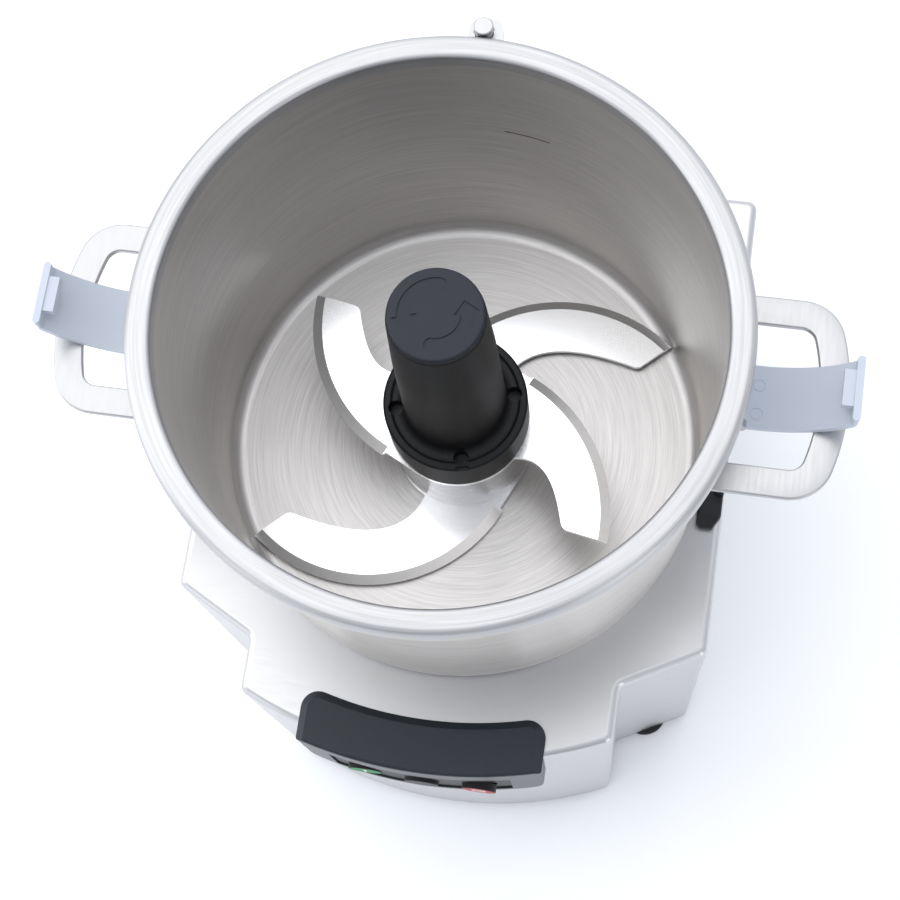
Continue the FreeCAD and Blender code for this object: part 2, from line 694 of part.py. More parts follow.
def keypad_plate():
    """Thin plate in the panel's recess, with a round hole for each button."""
    floor = PANEL_FACE_RADIUS - KEYPAD_RECESS
    plate = keypad_ring(floor + KEYPAD_THICKNESS, floor, MOVING_GAP)
    for _, x, face_y in button_places():
        start_y = face_y - KEYPAD_RECESS
        plate = plate.cut(backward(BUTTON_RADIUS + MOVING_GAP, PANEL_THICKNESS, x, start_y, BUTTON_Z))
    return plate


def push_button(x, face_y, proud):
    """Round cap with a stem that reaches its contact block through the panel."""
    front = face_y - proud
    cap = backward(BUTTON_RADIUS, proud + BUTTON_BODY, x, front, BUTTON_Z)
    rim = [e for e in cap.Edges if near(e.BoundBox.YMax, front)]
    cap = cap.makeFillet(BUTTON_EDGE_RADIUS, rim)
    stem = backward(STEM_RADIUS, PANEL_THICKNESS + STEM_REACH, x, face_y, BUTTON_Z)
    return cap.fuse(stem).removeSplitter()


def contact_blocks():
    """One contact block behind each button, between the panel's back and the control board."""
    z_range = (BUTTON_Z - CONTACT_HALF_HEIGHT, BUTTON_Z + CONTACT_HALF_HEIGHT)
    inside = cylinder(NOSE_ARC_RADIUS, *z_range, 0, NOSE_ARC_Y)
    depth = PANEL_THICKNESS + STEM_REACH + BUTTON_TRAVEL + MOVING_GAP
    blocks = []
    for _, x, face_y in button_places():
        x_range = (x - CONTACT_HALF_WIDTH, x + CONTACT_HALF_WIDTH)
        body = block(x_range, (NOSE_FRONT_Y, BOARD_Y - BOARD_THICKNESS), z_range).common(inside)
        blocks.append(body.cut(backward(STEM_RADIUS + MOVING_GAP, depth, x, face_y, BUTTON_Z)))
    return Part.makeCompound(blocks)


def standoff_places():
    """x and z of the control board's four standoffs."""
    x = BOARD_HALF_WIDTH - STANDOFF_INSET
    rows = (BOARD_BOTTOM + STANDOFF_INSET, BOARD_TOP - STANDOFF_INSET)
    return [(side * x, z) for side in (-1, 1) for z in rows]


def control_board():
    """Circuit board behind the nose, drilled for its standoffs."""
    front = BOARD_Y - BOARD_THICKNESS
    board = block((-BOARD_HALF_WIDTH, BOARD_HALF_WIDTH), (front, BOARD_Y), (BOARD_BOTTOM, BOARD_TOP))
    for x, z in standoff_places():
        board = board.cut(backward(STANDOFF_PIN_RADIUS, BOARD_THICKNESS, x, front, z))
    return board


def board_standoffs():
    """Four posts from the nose's front wall to the board, each with a pin through it."""
    inside = cylinder(NOSE_ARC_RADIUS - HOUSING_WALL, BOARD_BOTTOM, BOARD_TOP, 0, NOSE_ARC_Y)
    length = BOARD_Y - NOSE_FRONT_Y
    posts = []
    for x, z in standoff_places():
        post = backward(STANDOFF_RADIUS, length - BOARD_THICKNESS, x, NOSE_FRONT_Y, z)
        pin = backward(STANDOFF_PIN_RADIUS, length, x, NOSE_FRONT_Y, z)
        posts.append(post.fuse(pin).common(inside).removeSplitter())
    return Part.makeCompound(posts)


def motor_square(bottom, top):
    """Square motor outline with rounded corners."""
    half = MOTOR_HALF_SIDE
    corners = [(half, half), (half, -half), (-half, -half), (-half, half)]
    return prism([(x, y, MOTOR_CORNER_RADIUS) for x, y in corners], bottom, top)


def tie_bolt_places():
    """Centres of the four long bolts that hold the motor together."""
    return [(sx * TIE_BOLT_PITCH, sy * TIE_BOLT_PITCH) for sx in (-1, 1) for sy in (-1, 1)]


def drilled(shape, bottom, top):
    """Shape with the four tie bolt holes."""
    for x, y in tie_bolt_places():
        shape = shape.cut(cylinder(TIE_BOLT_RADIUS, bottom, top, x, y))
    return shape


def shield_skirt(bottom, top):
    """Wall of an end shield: square outside, round inside."""
    return motor_square(bottom, top).cut(cylinder(MOTOR_HALF_SIDE - SHIELD_WALL, bottom, top))


def upper_end_shield():
    """Top of the motor: flange under the housing, nose through it, bearing and seal seats."""
    flange = motor_square(UPPER_SHIELD_BOTTOM, UNDER_TOP)
    nose = cylinder(NOSE_RADIUS, UNDER_TOP, NOSE_TOP)
    nose = nose.makeChamfer(NOSE_CHAMFER, edges_at_height(nose, NOSE_TOP))
    body = fuse_all([flange, shield_skirt(STATOR_TOP, UPPER_SHIELD_BOTTOM), nose])
    body = body.cut(cylinder(SHAFT_RADIUS + SHAFT_CLEARANCE, UPPER_SHIELD_BOTTOM, NOSE_TOP))
    body = body.cut(cylinder(BEARING_RADIUS, UPPER_SHIELD_BOTTOM, UPPER_SHIELD_BOTTOM + BEARING_HEIGHT))
    body = body.cut(cylinder(SEAL_RADIUS, NOSE_TOP - SEAL_HEIGHT, NOSE_TOP))
    return drilled(body, STATOR_TOP, UNDER_TOP)


def lower_end_shield():
    """Bottom of the motor: plate, skirt and the lower bearing's seat."""
    plate = motor_square(LOWER_SHIELD_BOTTOM, LOWER_SHIELD_TOP)
    body = fuse_all([plate, shield_skirt(LOWER_SHIELD_TOP, STATOR_BOTTOM)])
    body = body.cut(cylinder(BEARING_RADIUS, LOWER_SHIELD_TOP - BEARING_HEIGHT, LOWER_SHIELD_TOP))
    return drilled(body, LOWER_SHIELD_BOTTOM, STATOR_BOTTOM)


def ball_bearing(bottom):
    """Ball bearing as one ring, turned about the shaft with running clearance."""
    return tube(BEARING_RADIUS, SHAFT_RADIUS + RUNNING_FIT, bottom, bottom + BEARING_HEIGHT)


def stator_core():
    """Laminated core with a round bore."""
    core = motor_square(STATOR_BOTTOM, STATOR_TOP).cut(cylinder(STATOR_BORE, STATOR_BOTTOM, STATOR_TOP))
    return drilled(core, STATOR_BOTTOM, STATOR_TOP)


def stator_windings():
    """End turns of the copper winding above and below the core."""
    turns = []
    chamfer = min(WINDING_CHAMFER, (WINDING_OUTER - WINDING_INNER) / 3)
    for bottom in (STATOR_TOP, STATOR_BOTTOM - WINDING_HEIGHT):
        top = bottom + WINDING_HEIGHT
        ring = tube(WINDING_OUTER, WINDING_INNER, bottom, top)
        edges = edges_at_height(ring, bottom) + edges_at_height(ring, top)
        turns.append(ring.makeChamfer(chamfer, edges))
    return Part.makeCompound(turns)


def tie_bolts():
    """Four long bolts through both end shields and the core."""
    bolts = []
    for x, y in tie_bolt_places():
        shank = cylinder(TIE_BOLT_RADIUS, LOWER_SHIELD_BOTTOM, UNDER_TOP, x, y)
        seat = LOWER_SHIELD_BOTTOM
        head = cylinder(TIE_BOLT_HEAD_RADIUS, seat - TIE_BOLT_HEAD_HEIGHT, seat, x, y)
        bolts.append(shank.fuse(head).removeSplitter())
    return Part.makeCompound(bolts)


def shaft_seal():
    """Lip seal in the nose, around the shaft."""
    return tube(SEAL_RADIUS, SHAFT_RADIUS + RUNNING_FIT, NOSE_TOP - SEAL_HEIGHT, NOSE_TOP)


def two_flats(bottom, top, grow):
    """Drive section of the shaft: a round bar with two flats."""
    radius = SHAFT_RADIUS + grow
    flat = SHAFT_FLAT + grow
    return cylinder(radius, bottom, top).common(block((-radius, radius), (-flat, flat), (bottom, top)))


def drive_shaft():
    """Motor shaft: round through the bearings, with two flats where it drives the knives."""
    shaft = cylinder(SHAFT_RADIUS, SHAFT_BOTTOM, TUBE_TOP)
    drive = two_flats(TUBE_TOP, SHAFT_TOP, 0)
    drive = drive.makeChamfer(SHAFT_CHAMFER, edges_at_height(drive, SHAFT_TOP))
    return shaft.fuse(drive).removeSplitter()


def rotor():
    """Rotor pack pressed on the shaft, with its end rings."""
    outer = STATOR_BORE - AIR_GAP
    pieces = [tube(outer, SHAFT_RADIUS, STATOR_BOTTOM, STATOR_TOP)]
    ring_outer = outer - ROTOR_RING_STEP
    for bottom in (STATOR_TOP, STATOR_BOTTOM - ROTOR_RING_HEIGHT):
        pieces.append(tube(ring_outer, ring_outer - ROTOR_RING_WIDTH, bottom, bottom + ROTOR_RING_HEIGHT))
    return fuse_all(pieces)


def cooling_fan():
    """Radial fan below the motor: back disc, hub and straight blades."""
    hub = tube(FAN_HUB_RADIUS, SHAFT_RADIUS, FAN_BOTTOM, FAN_TOP)
    disc = tube(FAN_RADIUS, SHAFT_RADIUS, FAN_TOP - FAN_BLADE_THICKNESS, FAN_TOP)
    pieces = [hub, disc]
    half = FAN_BLADE_THICKNESS / 2
    vane = block((FAN_HUB_RADIUS - half, FAN_RADIUS), (-half, half), (FAN_BOTTOM, FAN_TOP))
    for index in range(FAN_BLADE_COUNT):
        pieces.append(spun(vane, index * 360 / FAN_BLADE_COUNT))
    return fuse_all(pieces)


def run_capacitor():
    """Capacitor can standing on the bottom plate."""
    top = PLATE_TOP + CAPACITOR_HEIGHT
    can = cylinder(CAPACITOR_RADIUS, PLATE_TOP, top, CAPACITOR_X, CAPACITOR_Y)
    return can.makeFillet(CAPACITOR_EDGE_RADIUS, edges_at_height(can, top))


def capacitor_clamp():
    """Band round the capacitor with a foot on the housing's side wall."""
    z_range = (CLAMP_BOTTOM, CLAMP_BOTTOM + CLAMP_HEIGHT)
    band = cylinder(CAPACITOR_RADIUS + CLAMP_THICKNESS, *z_range, CAPACITOR_X, CAPACITOR_Y)
    half = CLAMP_FOOT_HALF_WIDTH
    foot = block((CAPACITOR_X, HALF_WIDTH - HOUSING_WALL), (CAPACITOR_Y - half, CAPACITOR_Y + half), z_range)
    can = cylinder(CAPACITOR_RADIUS, *z_range, CAPACITOR_X, CAPACITOR_Y)
    return band.fuse(foot).cut(can).removeSplitter()


def lid_switch():
    """Safety switch under the base's top, with a bore for the plunger."""
    y_range = (ROD_Y - SWITCH_HALF_DEPTH, ROD_Y + SWITCH_HALF_DEPTH)
    z_range = (SWITCH_TOP - SWITCH_HEIGHT, SWITCH_TOP)
    body = block((-SWITCH_HALF_WIDTH, SWITCH_HALF_WIDTH), y_range, z_range)
    end = PLUNGER_TOP - PLUNGER_LENGTH - ROD_TRAVEL - PLUNGER_SPARE
    return body.cut(cylinder(PLUNGER_RADIUS + MOVING_GAP, end, SWITCH_TOP, 0, ROD_Y))


def switch_bracket():
    """Angle that carries the lid switch: one leg beside it, one under the housing's top."""
    side = SWITCH_HALF_WIDTH
    y_range = (ROD_Y - SWITCH_HALF_DEPTH, ROD_Y + SWITCH_HALF_DEPTH)
    leg = block((side, side + BRACKET_THICKNESS), y_range, (SWITCH_TOP - SWITCH_HEIGHT, UNDER_TOP))
    lap = block((side, side + BRACKET_LAP), y_range, (UNDER_TOP - BRACKET_THICKNESS, UNDER_TOP))
    return fuse_all([leg, lap])


def switch_plunger():
    """Pin that the interlock rod pushes down to close the lid switch."""
    pin = cylinder(PLUNGER_RADIUS, PLUNGER_TOP - PLUNGER_LENGTH, PLUNGER_TOP, 0, ROD_Y)
    return pin.makeFillet(ROD_EDGE_RADIUS, edges_at_height(pin, PLUNGER_TOP))


def gland_hexagon(length):
    """Upright hexagon bar for the gland's body and its nut."""
    corners = [polar(GLAND_HEXAGON_RADIUS, k * 360 / HEXAGON_SIDES) for k in range(HEXAGON_SIDES + 1)]
    return Part.Face(Part.makePolygon(corners)).extrude(UP * length)


def on_rear_wall(shape, y, angle):
    """Upright shape laid on its side at the gland's place in the rear wall."""
    laid = shape.copy()
    laid.Placement = FreeCAD.Placement(Vector(GLAND_X, y, GLAND_Z), FreeCAD.Rotation(Vector(1, 0, 0), angle))
    return laid


def cable_gland():
    """Gland for the supply cable at the rear: hexagon, dome and thread with a through bore."""
    thread_end = -HOUSING_WALL - GLAND_THREAD_LENGTH
    dome_end = GLAND_HEXAGON_LENGTH + GLAND_DOME_LENGTH
    dome = cylinder(GLAND_DOME_RADIUS, GLAND_HEXAGON_LENGTH, dome_end)
    dome = dome.makeFillet(GLAND_DOME_EDGE_RADIUS, edges_at_height(dome, dome_end))
    thread = cylinder(GLAND_THREAD_RADIUS, thread_end, 0)
    gland = fuse_all([gland_hexagon(GLAND_HEXAGON_LENGTH), dome, thread])
    gland = gland.cut(cylinder(GLAND_BORE_RADIUS, thread_end, dome_end))
    return on_rear_wall(gland, REAR_Y, -90)


def gland_nut():
    """Hexagon nut that holds the gland from inside."""
    nut = gland_hexagon(GLAND_NUT_THICKNESS).cut(cylinder(GLAND_THREAD_RADIUS, 0, GLAND_NUT_THICKNESS))
    return on_rear_wall(nut, REAR_Y - HOUSING_WALL, 90)


def bowl_stop_block():
    """Right-hand stop block: ramped ends, a notch for the bowl's lug and a guard outside it."""
    ends = STOP_BLOCK_HALF_LENGTH
    top = BASE_TOP + STOP_BLOCK_HEIGHT
    half_outline = [
        (BLOCK_INNER_X, ends - INNER_CHAMFER),
        (BLOCK_INNER_X + INNER_CHAMFER, ends),
        (BLOCK_OUTER_X - OUTER_CHAMFER_X, ends),
        (BLOCK_OUTER_X, ends - OUTER_CHAMFER_Y),
    ]
    outline = half_outline + [(x, -y) for x, y in reversed(half_outline)]
    body = prism([(x, y, STOP_BLOCK_EDGE) for x, y in outline], BASE_TOP, top)
    ramp = ends - END_RAMP_LENGTH
    side = [(-ends, BASE_TOP, 0), (-ends, top - END_RAMP_DROP, 0), (-ramp, top, 0),
            (ramp, top, 0), (ends, top - END_RAMP_DROP, 0), (ends, BASE_TOP, 0)]
    profile = rounded_wire(side, lambda p: Vector(BLOCK_INNER_X, p.x, p.y))
    body = body.common(Part.Face(profile).extrude(Vector(BLOCK_OUTER_X - BLOCK_INNER_X, 0, 0)))
    body = body.makeFillet(STOP_BLOCK_EDGE, edges_at_height(body, top))
    guard_inner = LUG_REACH + MOVING_GAP
    length = GUARD_HALF_LENGTH
    guard = block((guard_inner, BLOCK_OUTER_X), (-length, length), (BASE_TOP, top + GUARD_HEIGHT))
    guard = guard.makeFillet(STOP_BLOCK_EDGE, edges_at_height(guard, top + GUARD_HEIGHT))
    body = body.fuse(guard).removeSplitter()
    half = LUG_HALF_WIDTH + MOVING_GAP
    notch = block((BLOCK_INNER_X, guard_inner), (-half, half), (BASE_TOP, top))
    return body.cut(notch)


def bowl_stop_blocks():
    """Both stop blocks, on the base beside the bowl's foot."""
    right = bowl_stop_block()
    return Part.makeCompound([right, mirrored(right)])


def bowl_outside():
    """Cone that fills the bowl's outer wall up to the rim."""
    low = BOWL_FLOOR_INNER + BOWL_WALL
    high = BOWL_RIM_INNER + BOWL_WALL
    return Part.makeCone(low, high, BOWL_RIM_Z - RIM_THICKNESS - BOWL_BOTTOM, Vector(0, 0, BOWL_BOTTOM))


def bowl():
    """Turned bowl: floor with a stepped centre tube, slightly tapered wall, rolled flat rim."""
    wall_foot = BOWL_FLOOR_INNER + BOWL_WALL
    wall_head = BOWL_RIM_INNER + BOWL_WALL
    under_rim = BOWL_RIM_Z - RIM_THICKNESS
    lip = RIM_OUTER - BOWL_WALL
    shell = BOWL_WALL
    section = [
        (TUBE_LOW_RADIUS - shell, BOWL_BOTTOM, 0),
        (wall_foot, BOWL_BOTTOM, BOWL_FLOOR_FILLET),
        (wall_head, under_rim, 0),
        (lip, under_rim, 0),
        (lip, BOWL_RIM_Z - RIM_DROP, 0),
        (RIM_OUTER, BOWL_RIM_Z - RIM_DROP, 0),
        (RIM_OUTER, BOWL_RIM_Z, RIM_OUTER_EDGE),
        (BOWL_RIM_INNER, BOWL_RIM_Z, RIM_INNER_EDGE),
        (BOWL_FLOOR_INNER, BOWL_FLOOR_TOP, BOWL_FLOOR_FILLET),
        (TUBE_LOW_RADIUS, BOWL_FLOOR_TOP, TUBE_CORNER_RADIUS),
        (TUBE_LOW_RADIUS, TUBE_SHOULDER_LOW, TUBE_CORNER_RADIUS),
        (TUBE_HIGH_RADIUS, TUBE_SHOULDER_HIGH, TUBE_CORNER_RADIUS),
        (TUBE_HIGH_RADIUS, TUBE_TOP, 0),
        (TUBE_HIGH_RADIUS - shell, TUBE_TOP, 0),
        (TUBE_HIGH_RADIUS - shell, TUBE_SHOULDER_HIGH - shell, TUBE_CORNER_RADIUS),
        (TUBE_LOW_RADIUS - shell, TUBE_SHOULDER_LOW - shell, TUBE_CORNER_RADIUS),
    ]
    return turned(section)


def bowl_lugs():
    """Two lugs welded to the bowl's foot, which drop between the stop blocks' notches."""
    z_range = (BOWL_FLOOR_TOP, BOWL_FLOOR_TOP + LUG_HEIGHT)
    lug = block((0, LUG_REACH), (-LUG_HALF_WIDTH, LUG_HALF_WIDTH), z_range)
    tips = [e for e in upright_edges(lug) if near(e.Vertexes[0].X, LUG_REACH)]
    lug = lug.makeFillet(LUG_CORNER_RADIUS, tips).cut(bowl_outside())
    return Part.makeCompound([lug, mirrored(lug)])


def bowed_loop(half_width, reach, corner, bow, bottom, top):
    """Plan of a loop handle: straight sides from the axis and an end that bows outwards."""
    chord = half_width - corner
    radius = (chord ** 2 + bow ** 2) / (2 * bow)
    near_side = [(reach, half_width, corner), (0, half_width, 0)]
    outline = [(0, -half_width, 0), (reach, -half_width, corner)] + near_side
    straight = block((0, reach - bow), (-half_width, half_width), (bottom, top))
    return prism(outline, bottom, top).common(cylinder(radius, bottom, top, reach - radius, 0).fuse(straight))


def handle():
    """Right-hand loop handle, cut to meet the bowl's wall."""
    bottom = HANDLE_TOP - HANDLE_THICKNESS
    outer = bowed_loop(HANDLE_HALF_WIDTH, HANDLE_REACH, HANDLE_OUTER_CORNER, HANDLE_BOW, bottom, HANDLE_TOP)
    inner = bowed_loop(HANDLE_HALF_WIDTH - HANDLE_STRIP, HANDLE_REACH - HANDLE_STRIP, HANDLE_INNER_CORNER,
                       HANDLE_BOW, bottom, HANDLE_TOP)
    loop = outer.cut(inner).removeSplitter()
    rims = [e for z in (bottom, HANDLE_TOP) for e in edges_at_height(loop, z) if e.BoundBox.XMax > SAME]
    loop = loop.makeFillet(HANDLE_EDGE_RADIUS, rims)
    return loop.cut(bowl_outside())


def across(radius, half_length, x, z):
    """Cylinder along Y through one place beside the bowl."""
    return Part.makeCylinder(radius, 2 * half_length, Vector(x, -half_length, z), BACKWARD)


def on_bend(centre, radius, run):
    """Place on a bend about a centre, at a run outwards from where the bend starts."""
    return Vector(centre.x + run, 0, centre.z - math.sqrt(radius ** 2 - run ** 2))


def lid_clip():
    """Right-hand clip: barrel, bowed strap, upright lip and the hook block inside it."""
    inner_x = CLIP_END_X - CLIP_LIP_THICKNESS
    inner_run = inner_x - CLIP_BEND_X
    outer_run = CLIP_END_X - CLIP_BEND_X
    inner = inner_run / math.sin(math.radians(CLIP_BEND_ANGLE))
    outer = inner + CLIP_THICKNESS
    rest_run = HANDLE_REACH - HANDLE_STRIP - CLIP_BEND_X
    centre_z = HANDLE_TOP + MOVING_GAP + math.sqrt(outer ** 2 - rest_run ** 2)
    centre = Vector(CLIP_BEND_X, 0, centre_z)
    upper = [on_bend(centre, inner, run) for run in (0, inner_run / 2, inner_run)]
    lower = [on_bend(centre, outer, run) for run in (outer_run, outer_run / 2, 0)]
    hinge_above = Vector(CLIP_HINGE_X, 0, upper[0].z)
    hinge_below = Vector(CLIP_HINGE_X, 0, lower[2].z)
    corners = [upper[2], Vector(inner_x, 0, CLIP_LIP_TOP), Vector(CLIP_END_X, 0, CLIP_LIP_TOP), lower[0]]
    edges = [Part.makeLine(hinge_above, upper[0]), Part.Arc(*upper).toShape()]
    edges += [Part.makeLine(a, b) for a, b in zip(corners, corners[1:])]
    edges += [Part.Arc(*lower).toShape(), Part.makeLine(lower[2], hinge_below),
              Part.makeLine(hinge_below, hinge_above)]
    strap = moved(Part.Face(Part.Wire(edges)).extrude(BACKWARD * (2 * CLIP_HALF_WIDTH)), 0, -CLIP_HALF_WIDTH)
    ends = [e for e in upright_edges(strap) if near(e.BoundBox.ZMax, CLIP_LIP_TOP)]
    strap = strap.makeFillet(CLIP_LIP_CORNER_RADIUS, ends)
    hook_top = CLIP_LIP_TOP - HOOK_STEP
    hook = block((inner_x - HOOK_DEPTH, inner_x), (-HOOK_HALF_WIDTH, HOOK_HALF_WIDTH),
                 (hook_top - HOOK_HEIGHT, hook_top))
    barrel = across(CLIP_BARREL_RADIUS, CLIP_HALF_WIDTH, CLIP_HINGE_X, CLIP_HINGE_Z)
    web = block((CLIP_HINGE_X, CLIP_HINGE_X + CLIP_THICKNESS), (-CLIP_HALF_WIDTH, CLIP_HALF_WIDTH),
                (hinge_below.z, CLIP_HINGE_Z))
    clip = fuse_all([strap, hook, web, barrel])
    return clip.cut(across(CLIP_PIN_RADIUS + RUNNING_FIT, CLIP_HALF_WIDTH, CLIP_HINGE_X, CLIP_HINGE_Z))


def clip_bracket():
    """Right-hand hinge bracket: two ears joined by a saddle on the bowl's wall."""
    ear_inner = CLIP_HALF_WIDTH + MOVING_GAP
    ear_outer = ear_inner + EAR_THICKNESS
    root = BOWL_FLOOR_INNER
    z_range = (CLIP_HINGE_Z - EAR_RADIUS, CLIP_HINGE_Z + EAR_RADIUS)
    pieces = [block((root, CLIP_HINGE_X - CLIP_BARREL_RADIUS - MOVING_GAP), (-ear_outer, ear_outer), z_range)]
    for sign in (-1, 1):
        y_range = (sign * ear_inner, sign * ear_outer)
        pieces.append(block((root, CLIP_HINGE_X), y_range, z_range))
        end = across(EAR_RADIUS, ear_outer, CLIP_HINGE_X, CLIP_HINGE_Z)
        pieces.append(end.common(block((root, CLIP_END_X), y_range, z_range)))
    bracket = fuse_all(pieces).cut(bowl_outside())
    return bracket.cut(across(CLIP_PIN_RADIUS, ear_outer, CLIP_HINGE_X, CLIP_HINGE_Z))


def clip_pin():
    """Right-hand hinge pin, standing a little proud of both ears."""
    half = CLIP_HALF_WIDTH + MOVING_GAP + EAR_THICKNESS + EAR_PIN_PROUD
    return across(CLIP_PIN_RADIUS, half, CLIP_HINGE_X, CLIP_HINGE_Z)


def guide_plate(bottom, backing):
    """Plate that guides the interlock rod, shaped to meet the backing it is welded to."""
    top = bottom + GUIDE_THICKNESS
    rear = ROD_Y + GUIDE_REAR
    outline = [(-GUIDE_LEFT, 0, 0), (-GUIDE_LEFT, rear, GUIDE_CORNER),
               (GUIDE_RIGHT, rear, GUIDE_CORNER), (GUIDE_RIGHT, 0, 0)]
    plate = prism(outline, bottom, top).cut(backing)
    return plate.cut(cylinder(ROD_RADIUS + MOVING_GAP, bottom, top, 0, ROD_Y))


def upper_rod_guide():
    """Guide at the rim: open towards it, with a small relief beside the rod."""
    bottom = UPPER_GUIDE_Z
    top = bottom + GUIDE_THICKNESS
    plate = guide_plate(bottom, cylinder(RIM_OUTER, bottom, top))
    throat = block((-GUIDE_THROAT, GUIDE_THROAT), (0, ROD_Y), (bottom, top))
    return plate.cut(throat).cut(cylinder(RELIEF_RADIUS, bottom, top, RELIEF_X, RIM_OUTER))


def interlock_rod():
    """Upright rod from the rim to the plunger, with a collar on its spring."""
    collar_z = LOWER_GUIDE_Z + GUIDE_THICKNESS + SPRING_LENGTH
    rod = cylinder(ROD_RADIUS, PLUNGER_TOP + MOVING_GAP, ROD_TOP, 0, ROD_Y)
    rod = rod.makeFillet(ROD_EDGE_RADIUS, edges_at_height(rod, ROD_TOP))
    collar = cylinder(ROD_COLLAR_RADIUS, collar_z, collar_z + ROD_COLLAR_HEIGHT, 0, ROD_Y)
    return rod.fuse(collar).removeSplitter()


def rod_spring():
    """Coil spring between the lower guide and the rod's collar."""
    start = LOWER_GUIDE_Z + GUIDE_THICKNESS + SPRING_WIRE_RADIUS
    height = SPRING_LENGTH - 2 * SPRING_WIRE_RADIUS
    helix = Part.makeHelix(SPRING_PITCH, height, SPRING_RADIUS)
    wire = Part.Wire(Part.makeCircle(SPRING_WIRE_RADIUS, Vector(SPRING_RADIUS, 0, 0), BACKWARD))
    coil = Part.Wire(helix).makePipeShell([wire], True, True)
    return moved(coil, 0, ROD_Y, start)


def arc_centre(a, b, radius):
    """Centre of the arc from a to b of a given radius, on the drive axis side."""
    middle = (a + b) * 0.5
    chord = b - a
    side = Vector(chord.y, -chord.x, 0).normalize()
    if side.dot(middle) > 0:
        side = side * -1
    return middle + side * math.sqrt(radius ** 2 - (chord.Length / 2) ** 2)


def knife_arm(arm, bottom):
    """One swept arm with its tip on +X: convex ground edge in front, hollow edge behind."""
    tip = Vector(arm["tip_radius"], 0, 0)
    notch = polar(arm["notch_radius"], arm["notch_angle"])
    centre = arc_centre(tip, notch, arm["lead_radius"])
    middle = centre + ((tip + notch) * 0.5 - centre).normalize() * arm["lead_radius"]
    step = notch * (1 - NOTCH_DEPTH / notch.Length)
    heel_turn = math.degrees(math.acos(KNIFE_DISC_RADIUS / step.Length))
    heel = polar(KNIFE_DISC_RADIUS, arm["notch_angle"] + heel_turn)
    back = [polar(arm[place + "_radius"], arm[place + "_angle"]) for place in ("end", "far", "near", "root")]
    end = back[0]
    trail = Part.BSplineCurve()
    trail.interpolate(back)
    edges = [
        Part.Arc(tip, middle, notch).toShape(),
        Part.makeLine(notch, step),
        Part.makeLine(step, heel),
        Part.makeLine(heel, ORIGIN),
        Part.makeLine(ORIGIN, back[-1]),
        trail.toShape(),
        Part.makeLine(end, tip),
    ]
    plate = Part.Face(Part.Wire(Part.__sortEdges__(edges))).extrude(UP * KNIFE_THICKNESS)
    upright = upright_edges(plate)
    corner = [e for e in upright if near(e.BoundBox.XMin, end.x) and near(e.BoundBox.YMin, end.y)]
    plate = plate.makeFillet(TIP_CORNER_RADIUS, corner)
    return moved(plate, 0, 0, bottom).cut(bevel_cutter(arm, centre, notch, bottom))


def bevel_cutter(arm, centre, notch, bottom):
    """Wedge swept round the leading edge that grinds it down to a thin land."""
    radius = arm["lead_radius"]
    land = bottom + EDGE_LAND
    top = bottom + KNIFE_THICKNESS
    slope = (top - land) / BEVEL_WIDTH
    outside = radius + BEVEL_WIDTH
    inside = radius - 2 * BEVEL_WIDTH
    above = top + slope * BEVEL_WIDTH
    below = land - slope * BEVEL_WIDTH
    wedge = Part.makePolygon([Vector(inside, 0, above), Vector(outside, 0, above), Vector(outside, 0, below),
                              Vector(inside, 0, above)])
    to_notch = notch - centre
    finish = math.degrees(math.atan2(to_notch.y, to_notch.x))
    to_tip = Vector(arm["tip_radius"], 0, 0) - centre
    start = math.degrees(math.atan2(to_tip.y, to_tip.x)) - BEVEL_OVERRUN_ANGLE
    cutter = Part.Face(wedge).revolve(ORIGIN, UP, finish - start)
    cutter = spun(cutter, start)
    return moved(cutter, centre.x, centre.y)


def clamp_screw_places():
    """Centres of the four screws that clamp the knife set."""
    step = 360 / CLAMP_SCREW_COUNT
    return [polar(CLAMP_CIRCLE_RADIUS, CLAMP_SCREW_ANGLE + step * k) for k in range(CLAMP_SCREW_COUNT)]


def screw_drilled(shape, bottom, top, radius=CLAMP_SCREW_RADIUS):
    """Shape with the clamp screws' holes."""
    for place in clamp_screw_places():
        shape = shape.cut(cylinder(radius, bottom, top, place.x, place.y))
    return shape


def knife_pair(arm, bottom):
    """Two arms half a turn apart on a centre disc."""
    top = bottom + KNIFE_THICKNESS
    blade = knife_arm(arm, bottom)
    disc = cylinder(KNIFE_DISC_RADIUS, bottom, top)
    pair = fuse_all([disc, spun(blade, arm["turn_angle"]), spun(blade, arm["turn_angle"] + 180)])
    pair = pair.cut(cylinder(KNIFE_BORE_RADIUS, bottom, top))
    return screw_drilled(pair, bottom, top)


def knife_spacer():
    """Steel ring that holds the two knife pairs apart."""
    ring = tube(SPACER_RADIUS, KNIFE_BORE_RADIUS, SPACER_BOTTOM, UPPER_KNIFE_BOTTOM)
    return screw_drilled(ring, SPACER_BOTTOM, UPPER_KNIFE_BOTTOM)


def clamp_screws():
    """Four long screws from the grip's flange down to the lower knives."""
    seat = FLANGE_TOP - CLAMP_SEAT_DEPTH
    screws = []
    for place in clamp_screw_places():
        head = cylinder(CLAMP_HEAD_RADIUS, seat, seat + CLAMP_HEAD_HEIGHT, place.x, place.y)
        shank = cylinder(CLAMP_SCREW_RADIUS, KNIFE_BOTTOM, seat, place.x, place.y)
        screws.append(head.fuse(shank).removeSplitter())
    return Part.makeCompound(screws)


